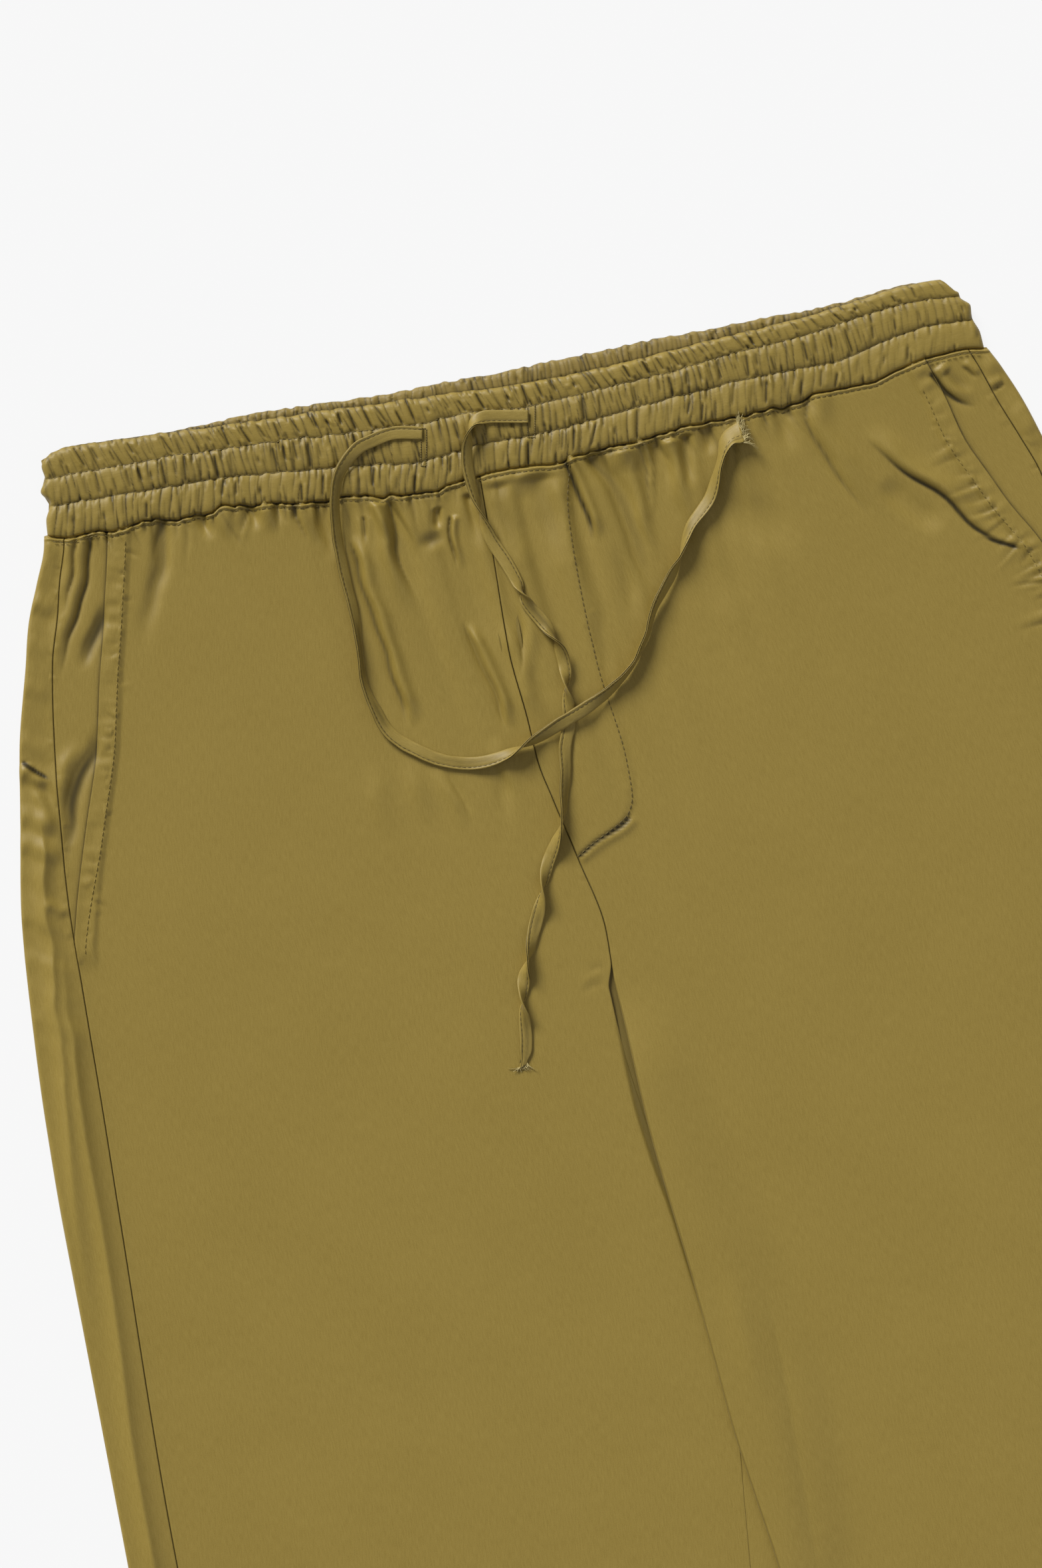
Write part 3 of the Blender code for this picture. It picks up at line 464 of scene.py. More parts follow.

# Each row below holds what fold_at takes, in its order: line, section, width, depth, fade, dark (the painted
# shade along its line).
RIGHT_LEG_FOLDS = (
    (((240, 790), (242, 837), (234, 885), (222, 935), (210, 990)), HOLLOW, 3.4, 1.0, (0.05, 0.8), 0.3),
    (((305, 788), (318, 818)), HOLLOW, 2.4, 1.0, (0.05, 0.7)),
    (((338, 775), (346, 815)), RIDGE, 3.0, 0.6, (0.05, 0.7)),
    (((376, 766), (388, 800)), HOLLOW, 2.4, 1.1, (0.05, 0.7)),
    (((402, 763), (411, 806)), RIDGE, 3.2, 0.8, (0.05, 0.7)),
    (((420, 762), (430, 796)), HOLLOW, 2.0, 0.9, (0.05, 0.7)),
    (((445, 766), (454, 790), (464, 824)), TUCK, 2.0, 0.8, (0.05, 0.6), 0.35),
    (((486, 762), (492, 800), (496, 850)), HOLLOW, 3.0, 0.8, (0.05, 0.6)),
    (
        ((521, 806), (544, 871), (564, 940), (583, 992), (600, 1037), (611, 1096)),
        TUCK, 2.2, 1.5, (0.15, 0.2), 0.5,
    ),
    (((545, 780), (550, 826)), CREASE, 1.0, 0.7, (0.1, 0.6), 0.3),
    (((563, 762), (575, 797), (580, 815)), RIDGE, 2.4, 0.9, (0.05, 0.5)),
    (((587, 768), (597, 823), (611, 865), (633, 912)), TUCK_LEFT, 2.6, 1.5, (0.05, 0.6), 0.25),
    (((604, 760), (616, 792), (634, 836)), RIDGE, 3.2, 0.5, (0.05, 0.6)),
    (((626, 816), (650, 812), (676, 805)), HOLLOW, 3.2, 0.6, (0.5, 0.5), 0.4),
    (((655, 765), (662, 800)), HOLLOW, 1.8, 0.8, (0.1, 0.5)),
    (((678, 777), (681, 815), (688, 862)), TUCK, 1.3, 0.9, (0.1, 0.5), 0.45),
    (((706, 742), (716, 790), (728, 830)), HOLLOW, 2.6, 0.8, (0.1, 0.6)),
    (((700, 935), (721, 992), (742, 1040), (768, 1104)), TUCK, 2.0, 1.3, (0.2, 0.3), 0.2),
    (((760, 928), (786, 1012), (806, 1090)), RIDGE, 4.5, 0.5, (0.3, 0.3)),
    (((660, 1140), (688, 1186), (714, 1250)), TUCK_LEFT, 2.8, 0.55, (0.5, 0.6)),
    (((612, 1130), (630, 1186), (646, 1250)), RIDGE, 4.5, 0.4, (0.5, 0.6)),
    (((738, 1130), (752, 1180), (772, 1250)), HOLLOW, 3.4, 0.5, (0.5, 0.6)),
    (((868, 1484), (890, 1472), (912, 1464)), RIDGE, 1.8, 0.08, (0.4, 0.3)),
    (((872, 1496), (894, 1483), (914, 1478)), HOLLOW, 1.8, 0.1, (0.4, 0.3), 0.12),
    (((882, 1464), (898, 1456), (914, 1454)), HOLLOW, 1.7, 0.08, (0.4, 0.3), 0.1),
    (((745, 1100), (754, 1145), (774, 1205)), RIDGE, 3.6, 0.35, (0.5, 0.5)),
    (((560, 1140), (572, 1200), (590, 1265)), RIDGE, 5.0, 0.3, (0.5, 0.6)),
)

RIGHT_POCKET_FOLDS = (
    (((138, 812), (134, 845), (124, 890), (104, 960), (92, 1030)), TUCK_LEFT, 2.6, 0.9, (0.05, 0.5), 0.5),
    (((116, 812), (112, 850), (100, 900), (92, 930)), TUCK_LEFT, 1.7, 0.7, (0.05, 0.5), 0.3),
    (((160, 905), (150, 940), (136, 975), (120, 1010)), HOLLOW, 2.8, 1.0, (0.4, 0.5), 0.6),
    (((150, 1095), (138, 1140), (114, 1183), (104, 1240), (98, 1310)), HOLLOW, 3.0, 1.0, (0.3, 0.5), 0.65),
    (((122, 1110), (96, 1160), (92, 1230)), RIDGE, 3.6, 0.6, (0.4, 0.5)),
    (((30, 1149), (52, 1162), (78, 1172)), TUCK_LEFT, 2.0, 0.7, (0.1, 0.3), 1.0),
    (((50, 1180), (66, 1210), (72, 1260)), RIDGE, 3.0, 0.6),
    (
        ((54, 1195), (64, 1255), (70, 1364), (79, 1444), (88, 1534), (98, 1632), (105, 1721))
        + ((113, 1835), (127, 1930), (147, 2045)),
        ROOF, 4.6, 1.35, (0.12, 0.3),
    ),
    (
        ((86, 1340), (95, 1430), (106, 1534), (119, 1632), (130, 1712), (142, 1780), (154, 1845))
        + ((167, 1928), (183, 2039), (198, 2160), (216, 2263), (234, 2360), (252, 2450)),
        ROOF, 4.6, 1.25, (0.3, 0.1),
    ),
    (((66, 1356), (82, 1362), (102, 1376)), RIDGE, 2.4, 0.4, (0.3, 0.3)),
)

LEFT_LEG_FOLDS = (
    (((948, 1222), (938, 1236), (915, 1255), (890, 1274), (864, 1293)), TUCK, 1.4, 0.5, (0.1, 0.1), 0.9),
    (((853, 696), (866, 732), (880, 770), (896, 818)), TUCK, 1.8, 1.3, (0.05, 0.3), 0.8),
    (((897, 690), (924, 741), (952, 789), (969, 851), (986, 892)), HOLLOW, 3.0, 1.7, (0.05, 0.5), 0.2),
    (((940, 690), (966, 770), (990, 850)), RIDGE, 4.2, 1.1, (0.05, 0.5)),
    (((965, 680), (974, 734), (977, 776)), TUCK, 1.5, 1.1, (0.05, 0.5), 0.35),
    (((985, 676), (1003, 785), (1022, 826)), HOLLOW, 2.8, 1.2, (0.05, 0.5)),
    (((1008, 672), (1026, 740), (1050, 800)), RIDGE, 3.8, 0.9, (0.05, 0.6)),
    (((1029, 668), (1034, 700), (1042, 740)), HOLLOW, 2.4, 1.2, (0.05, 0.6), 0.15),
    (((1062, 660), (1070, 690)), HOLLOW, 2.2, 0.8, (0.05, 0.6)),
    (((928, 820), (944, 880), (957, 940)), HOLLOW, 3.4, 0.45, (0.5, 0.5)),
    (((890, 905), (908, 970), (930, 1040)), HOLLOW, 3.4, 0.45, (0.5, 0.5), 0.08),
    (((778, 900), (785, 960), (781, 1030)), TUCK, 2.4, 0.6, (0.5, 0.5), 0.15),
    (((1060, 720), (1120, 770), (1210, 830)), HOLLOW, 9.0, 0.7, (0.5, 0.5)),
    (((1000, 830), (1050, 862), (1120, 910)), HOLLOW, 8.0, 0.5, (0.5, 0.5)),
    (((748, 720), (765, 790), (788, 850)), HOLLOW, 6.0, 0.9, (0.1, 0.6), 0.12),
    (((812, 712), (824, 780), (846, 850)), HOLLOW, 7.0, 0.9, (0.1, 0.6), 0.12),
    (((786, 705), (800, 770), (822, 850)), RIDGE, 6.0, 0.5, (0.1, 0.6)),
    (((1214, 603), (1218, 640), (1240, 684), (1275, 735), (1330, 800)), TUCK, 3.6, 0.85, (0.05, 0.6), 0.4),
    (((1178, 612), (1184, 650), (1196, 690)), HOLLOW, 4.5, 0.8, (0.05, 0.6)),
    (
        ((1290, 655), (1350, 700), (1404, 738), (1452, 781), (1484, 800), (1510, 809)),
        TUCK, 1.9, 0.6, (0.45, 0.15), 0.9,
    ),
    (((1480, 803), (1510, 816), (1540, 829)), TUCK, 1.3, 0.45, (0.3, 0.3), 0.9),
    (((1300, 645), (1362, 688), (1420, 728), (1470, 765)), RIDGE, 5.0, 0.6, (0.3, 0.3)),
    (((1330, 720), (1372, 762), (1420, 800)), HOLLOW, 5.0, 0.7),
    (((1138, 1911), (1174, 2037), (1229, 2359)), TUCK, 7.0, 0.28, (0.4, 0.1)),
    (((1096, 1900), (1120, 2010), (1150, 2130)), RIDGE, 6.0, 0.2),
)

LEFT_POCKET_FOLDS = (
    (((1408, 572), (1424, 594), (1446, 608), (1476, 611)), TUCK, 2.6, 0.8, (0.05, 0.55), 1.0),
    (((1420, 560), (1440, 580), (1462, 592)), HOLLOW, 2.4, 0.5, (0.1, 0.5), 0.2),
    (((1444, 553), (1456, 562), (1466, 571)), TUCK, 1.6, 0.5, (0.3, 0.3), 0.35),
    (((1488, 588), (1500, 580), (1512, 574)), TUCK, 1.6, 0.5, (0.3, 0.3), 0.3),
)


def random_folds(
    path: Callable[[Array], Array],
    spacing: tuple[float, float],
    lengths: tuple[float, float],
    depths: tuple[float, float],
    slant: float,
    seed: int,
    both_sides: bool = False,
    strength: Callable[[Array], Array] | None = None,
) -> list[Fold]:
    """Small creases that start from a line of sewing and run off at about a right angle to it.

    Args:
        path: Places on the plan for distances along the line, up to the last one that is not a number.
        spacing: Least and most distance between two creases.
        lengths: Shortest and longest crease.
        depths: Shallowest and deepest crease.
        slant: How far a crease may turn from the right angle, in radians.
        seed: Picks the creases.
        both_sides: Whether they run off to both sides, or to the line's right alone.
        strength: A share of the length and depth at each x.

    Returns:
        The creases, as folds.
    """
    rng = np.random.default_rng(seed)
    at = np.cumsum(rng.uniform(*spacing, 600))
    places = path(at)
    ahead = path(at + 0.5) - places
    kept = np.isfinite(places).all(axis=1) & np.isfinite(ahead).all(axis=1)
    folds = []
    for place, direction in zip(places[kept], ahead[kept]):
        turn = rng.uniform(-slant, slant) + math.pi / 2
        if both_sides and rng.random() < 0.5:
            turn += math.pi
        length, depth, width = rng.uniform(*lengths), rng.uniform(*depths), rng.uniform(0.9, 1.8)
        share = 1.0 if strength is None else float(strength(place[0]))
        if share < 0.12:
            continue
        angle = math.atan2(direction[1], direction[0]) + turn
        run = np.array((math.cos(angle), math.sin(angle)))
        start = place - run * (0.0 if both_sides else 3.0)
        line = np.stack((start, place + run * length * (0.4 + 0.6 * share)))
        shape = (CREASE, TUCK, TUCK_LEFT)[rng.integers(3)]
        # Each crease gets painted shade along its line, in step with its depth.
        folds.append(Fold(line, shape, width, depth * share, (0.08, 0.8), 0.4 * depth * share))
    return folds


def along_seam(at: Array) -> Array:
    """Places along the waist seam, from the garment's right side to its left side."""
    x = np.where(at < 404.0, at - 202.0, np.nan)
    return np.stack((x, -seam_height(np.nan_to_num(x))), axis=-1)


def down_line(
    line: Line, sign: float, start: float, end: float, inset: float = 0.0
) -> Callable[[Array], Array]:
    """Places down a line of the cut, for distances along it.

    Args:
        line: The line.
        sign: The sign of x on its side.
        start: The drop where it starts.
        end: The drop where it ends.
        inset: How far inside the line the places lie.

    Returns:
        What gives the places for distances from the start.
    """

    def path(at: Array) -> Array:
        drop = np.where(at + start < end, at + start, np.nan)
        return np.stack((sign * (line.at(np.nan_to_num(drop)) - inset), drop), axis=-1)

    return path


@dataclass
class Cloth:
    """The shape that all layers of the laid-out legs follow: their level, their folds and what lifts them."""

    folds: list[Fold] = field(default_factory=list)

    def __post_init__(self) -> None:
        """Gathers the folds seen in the photograph and the small creases along the sewing."""
        rows = RIGHT_LEG_FOLDS + RIGHT_POCKET_FOLDS + LEFT_LEG_FOLDS + LEFT_POCKET_FOLDS
        self.folds += [fold_at(*row) for row in rows]
        short = ((2.2, 6.0), (3.0, 12.0), (0.5, 1.7), 0.35)
        long = ((7.0, 15.0), (12.0, 34.0), (0.5, 1.3), 0.2)
        for seed, sizes in ((21, short), (22, long)):
            self.folds += random_folds(along_seam, *sizes, seed, strength=gathering)
        for seed, (side, cut) in enumerate(CUT.items()):
            path = down_line(cut.mouth, side.value, -2.0, POCKET_END, POCKET_SEWING)
            self.folds += random_folds(path, (3.0, 8.0), (3.0, 8.0), (0.15, 0.55), 0.6, 31 + seed, True)
        for seed, (side, cut) in enumerate(CUT.items()):
            path = down_line(cut.seam, side.value, -2.0, 190.0)
            self.folds += random_folds(path, (4.0, 10.0), (2.0, 6.0), (0.12, 0.45), 0.5, 41 + seed, True)
        path = down_line(CUT[Side.LEFT].mouth, 1, 22.0, 118.0, POCKET_SEWING + 0.4)
        self.folds += random_folds(path, (4.0, 8.0), (8.0, 22.0), (0.4, 1.0), 0.35, 33)
        path = down_line(FLY_EDGE, 1, 0.0, FLY_END)
        self.folds += random_folds(path, (5.0, 12.0), (2.0, 5.0), (0.08, 0.3), 0.5, 51, True)
        path = down_line(CENTRE_SEAM, 1, 120.0, 236.0)
        self.folds += random_folds(path, (9.0, 20.0), (2.0, 6.0), (0.1, 0.3), 0.5, 52, True)

    def relief(self, x: Array, drop: Array) -> tuple[Array, Array]:
        """The folds' height and how much painted shade each place gets in their creases: the sum over all
        folds.

        Args:
            x: Places on the plan.
            drop: Their drops.

        Returns:
            Heights in millimetres and shares of painted crease shade from 0 to 1.
        """
        height = 0.1 * np.sin(x / 23.0 + drop / 61.0) + 0.12 * np.sin(drop / 47.0 - x / 38.0 + 1.3)
        height += self.drape(x, drop)
        crease = np.zeros_like(height)
        for side, cut in CUT.items():
            out = side.value * x
            beyond = ease((out - cut.seam.at(drop)) / 5.0) * (1 - ease((drop - 180.0) / 60.0))
            height += 0.85 * beyond * wobble(drop + 0.5 * out, 7.0, 1.0, 301 + side.value)
            strip = np.exp(-(((out - cut.mouth.at(drop) + 4.2) / 3.4) ** 2))
            strip = strip * (1 - ease((drop - 165.0) / 20.0))
            height += 0.45 * strip * wobble(drop + 0.35 * out, 3.8, 1.0, 303 + side.value)
        high = 1 - ease((drop - 215.0) / 40.0)
        warped_x = x + high * (0.7 * np.sin(drop / 7.3 + x / 19.0) + 0.35 * np.sin(drop / 3.3 - x / 5.3))
        warped_drop = drop + high * 0.8 * np.sin(x / 6.1 + drop / 23.0)
        for fold in self.folds:
            fold.press(warped_x, warped_drop, height, crease)
        return height, crease

    def drape(self, x: Array, drop: Array) -> Array:
        """Soft falls from the gathers between the pockets: irregular waves that die out down the legs."""
        across = x - 0.11 * drop + 3.0 * np.sin(drop / 37.0)
        fall = np.exp(-(((drop + 4.0) / 96.0) ** 2)) * ease((drop + seam_height(x)) / 14.0)
        between = np.exp(-(((x - 14.0) / 88.0) ** 4))
        broad = wobble(across, 10.5, DRAPE_DEPTH, 401) * wobble(drop + 0.4 * x, 46.0, 0.5, 402)
        narrow = wobble(across + 1.7, 5.6, 0.42 * DRAPE_DEPTH, 403)
        steady = wobble(across, 12.0, 0.6 * DRAPE_DEPTH, 404)
        return between * fall * (steady + broad + narrow)

    def level(self, x: Array, drop: Array) -> Array:
        """The upper side's height without its folds: flat, fuller at the waist and along the outer edges."""
        below = np.maximum(drop + seam_height(x), 0.0)
        side = np.where(x < 0, CUT[Side.RIGHT].edge.at(drop), CUT[Side.LEFT].edge.at(drop))
        puff = WAIST_PUFF * np.exp(-below / WAIST_PUFF_REACH)
        edge = EDGE_PUFF * (1 - ease((side - np.abs(x)) / EDGE_PUFF_REACH))
        return FLAT_LEVEL + puff + edge

    def seam_profile(self, x: Array, drop: Array) -> Array:
        """The waist seam's rolled ridge, the ditch above it and the groove of its topstitch below it."""
        below = drop + seam_height(x)
        uneven = 1 + gathering(x) * (wobble(x, 3.1, 0.45, 13) + wobble(x, 1.4, 0.25, 14))
        ridge = 0.5 * uneven * np.exp(-(((below - 0.95) / 0.45) ** 2))
        ditch = 1.7 * np.exp(-((np.maximum(below, 0.0) / 0.42) ** 2))
        groove = 0.3 * np.exp(-(((below - 2.0) / 0.4) ** 2))
        return ridge - ditch - groove

    def leg_lift(self, x: Array, drop: Array) -> Array:
        """How far the left leg's inner edge rides up on the right leg."""
        down = rise(drop, LEG_LIFT_START) * (1 - rise(drop, LEG_LIFT_END))
        return LEG_LIFT * down * (1 - ease((x - RIGHT_FOLD.at(drop) - 2.0) / LEG_LIFT_FALL))

    def top(self, side: Side, x: Array, drop: Array) -> tuple[Array, Array]:
        """Upper side of a front panel, with what lies under it.

        Args:
            side: Which leg.
            x: Places on the plan.
            drop: Their drops.

        Returns:
            Heights in millimetres and shares of painted crease shade.
        """
        relief, crease = self.relief(x, drop)
        inward = CUT[side].mouth.at(drop) - np.abs(x) - POCKET_TUCK
        height = MOUTH_LIFT * (1 - ease(inward / LIFT_FALL)) * (1 - ease((drop - POCKET_END) / 11.0))
        if side is Side.LEFT:
            outside = x - FLY_EDGE.at(drop)
            height = height + FLY_LIFT * (1 - ease((outside + 0.6) / LIFT_FALL))
            height = height - 0.25 * np.exp(-((outside / 0.7) ** 2)) * (drop < FLY_END + 14)
            height = height + self.leg_lift(x, drop)
        level = self.level(x, drop) + self.seam_profile(x, drop)
        if side is Side.RIGHT:
            # The right leg's cloth turns down into the gap beside the left leg's edge; painted shade darkens
            # that strip.
            turned = ease((x - GAP_EDGE.at(drop)) / 2.2) * ease((drop - 246.0) / 14.0)
            turned = turned * (1 - ease((drop - 380.0) / 30.0))
            level = level - turned
            crease = crease + 0.55 * turned
        return soft_floor(level + relief, LEAST_LEVEL) + height, np.clip(crease, 0, 1)

    def backing(self, x: Array, drop: Array) -> tuple[Array, Array]:
        """Upper side of the back panels' returns and of the pockets' backings."""
        relief, crease = self.relief(x, drop)
        level = self.level(x, drop) + self.seam_profile(x, drop)
        return soft_floor(level + relief, LEAST_LEVEL), np.clip(crease, 0, 1)


def on_plan(x: Array, drop: Array, z: Array) -> Array:
    """Points in the frame for places on the plan, with their heights."""
    return np.stack((x, WAIST_Y - drop, z), axis=-1)


def between(start: Array, end: Array, share: Array) -> Array:
    """For each row, places from a start to an end at some shares of the way."""
    return start[:, None] + (end - start)[:, None] * share


def mesh_object(name: str, points: Array, faces: list[list[int]]) -> Piece:
    """A smooth mesh object at the origin, linked to the scene, from points in millimetres."""
    mesh = bpy.data.meshes.new(name)
    mesh.from_pydata((points.reshape(-1, 3) * MM).tolist(), [], faces)
    mesh.update()
    mesh.shade_smooth()
    piece = bpy.data.objects.new(name, mesh)
    bpy.context.scene.collection.objects.link(piece)
    return piece


def tube_faces(rings: int, sides: int, count: int) -> list[list[int]]:
    """The faces of some open tubes whose points follow each other, ring by ring and tube by tube."""
    number = np.arange(rings * sides).reshape(rings, sides)
    turned = np.roll(number, -1, axis=1)
    quads = np.stack((number[:-1], turned[:-1], turned[1:], number[1:]), axis=-1).reshape(-1, 4)
    return (quads[None] + (np.arange(count) * number.size)[:, None, None]).reshape(-1, 4).tolist()


@dataclass
class Patch:
    """A grid of cloth: points in millimetres with a share of painted shade and a place on the cloth for each.
    """

    points: Array
    crease: Array

    def cloth_places(self) -> Array:
        """Distances over the cloth across and down the grid, in metres, for the weave to follow."""
        across = np.linalg.norm(np.diff(self.points, axis=1), axis=2)
        down = np.linalg.norm(np.diff(self.points, axis=0), axis=2)
        u = np.concatenate((np.zeros((len(across), 1)), np.cumsum(across, axis=1)), axis=1)
        v = np.concatenate((np.zeros((1, down.shape[1])), np.cumsum(down, axis=0)), axis=0)
        u = u - u[:, u.shape[1] // 2, None]
        return np.stack((u, v), axis=-1) * MM

    def object(self, name: str, flip: bool = False, ring: bool = False, caps: bool = False) -> Piece:
        """Turns the grid into a mesh object at the origin.

        Args:
            name: The piece's name.
            flip: Turns the faces over.
            ring: Closes each row of the grid to a ring.
            caps: Closes both ends of a ringed grid with a face.

        Returns:
            The object, linked to the scene.
        """
        rows, columns = self.crease.shape
        number = np.arange(rows * columns).reshape(rows, columns)
        places = self.cloth_places()
        if ring:
            number = np.concatenate((number, number[:, :1]), axis=1)
            places = np.concatenate((places, places[:, -1:] + (places[:, -1:] - places[:, -2:-1])), axis=1)
        quads = np.stack((number[:-1, :-1], number[1:, :-1], number[1:, 1:], number[:-1, 1:]), axis=-1)
        corners = np.stack((places[:-1, :-1], places[1:, :-1], places[1:, 1:], places[:-1, 1:]), axis=2)
        if flip:
            quads, corners = quads[..., ::-1], corners[..., ::-1, :]
        faces = quads.reshape(-1, 4).tolist()
        corners = corners.reshape(-1, 2)
        if caps:
            ends = (number[0, :-1], number[-1, :-1][::-1])
            faces += [(end[::-1] if flip else end).tolist() for end in ends]
            corners = np.concatenate((corners, places[0, :-1], places[-1, :-1]))
        piece = mesh_object(name, self.points, faces)
        piece.data.uv_layers.new(name="cloth").data.foreach_set("uv", corners.ravel())
        # The crease attribute carries the painted shade to the material.
        creases = piece.data.attributes.new("crease", "FLOAT", "POINT")
        creases.data.foreach_set("value", self.crease.ravel())
        return piece


def turned_edge(points: Array, radius: Array, turn: float, outward: float) -> Array:
    """Columns that roll an edge of a grid under in half a circle and run it back a little way.

    Args:
        points: The grid's last column, with its edge on top.
        radius: Half the drop to the underside, for each row.
        turn: How far the cloth runs back under.
        outward: The sign of x away from the cloth.

    Returns:
        Columns of points to add to the grid.
    """
    radius = np.broadcast_to(radius, points.shape[:1])[:, None]
    angle = ROLL_ANGLES[None, :]
    x = points[:, None, 0] + outward * radius * np.sin(angle)
    z = points[:, None, 2] - radius * (1 - np.cos(angle))
    back_x = points[:, None, 0] - outward * turn * np.array((0.5, 1.0))[None, :]
    x = np.concatenate((x, back_x), axis=1)
    z = np.concatenate((z, z[:, -1:], z[:, -1:]), axis=1)
    y = np.broadcast_to(points[:, None, 1], x.shape)
    return np.stack((x, y, z), axis=-1)


def turned_hem(patch: Patch) -> Patch:
    """The grid with its lower edge rolled to the inside and run back up, along its inward normals."""
    last, before = patch.points[-1], patch.points[-2]
    along = np.gradient(last, axis=0)
    down = (last - before) / np.linalg.norm(last - before, axis=1, keepdims=True)
    inward = np.cross(along, down)
    inward /= np.linalg.norm(inward, axis=1, keepdims=True)
    angle = ROLL_ANGLES[:, None, None]
    roll = last + HEM_RADIUS * (np.sin(angle) * down + (1 - np.cos(angle)) * inward)
    back = roll[-1] - down * HEM_TURN * np.array((0.5, 1.0))[:, None, None]
    rows = len(roll) + len(back)
    crease = np.concatenate((patch.crease, np.zeros((rows, patch.crease.shape[1]))))
    return Patch(np.concatenate((patch.points, roll, back)), crease)


def spaced(stops: tuple[float, ...], steps: tuple[float, ...]) -> Array:
    """Places from the first stop to the last, whose spacing runs evenly between the steps at the stops."""
    fine = np.linspace(stops[0], stops[-1], 20000)
    count = np.concatenate(((0.0,), np.cumsum(np.diff(fine) / np.interp(fine[1:], stops, steps))))
    return np.interp(np.linspace(0, count[-1], int(count[-1]) + 1), count, fine)


PANEL_STOPS = (0.0, 3.0, 70.0, 250.0, 420.0, 989.5)
PANEL_STEPS = (0.3, 0.75, 0.85, 1.4, 7.0, 12.0)
PANEL_ROWS = np.concatenate(((-1.6, -0.8), spaced(PANEL_STOPS, PANEL_STEPS)))


def settled(row: Array, sign: float, edge: Callable[[Array], Array]) -> Array:
    """Where each row meets an edge of the cut, worked out in a few rounds as both depend on each other."""
    x = sign * edge(row)
    for _ in range(4):
        x = sign * edge(row_drop(row, x))
    return x


def spread_between(start: Array, end: Array, count: int) -> Array:
    """Columns from one edge to the other of each row, closer together beside both edges."""
    t = np.linspace(0, 1, count)
    share = t - 0.09 * np.sin(2 * np.pi * t)
    return between(start, end, share)


def below_crotch(drop: Array, above: float = 10.0, reach: float = 12.0) -> Array:
    """From 0 a little above the crotch to 1 at a reach below that."""
    return ease((drop - CROTCH_DROP + above) / reach)


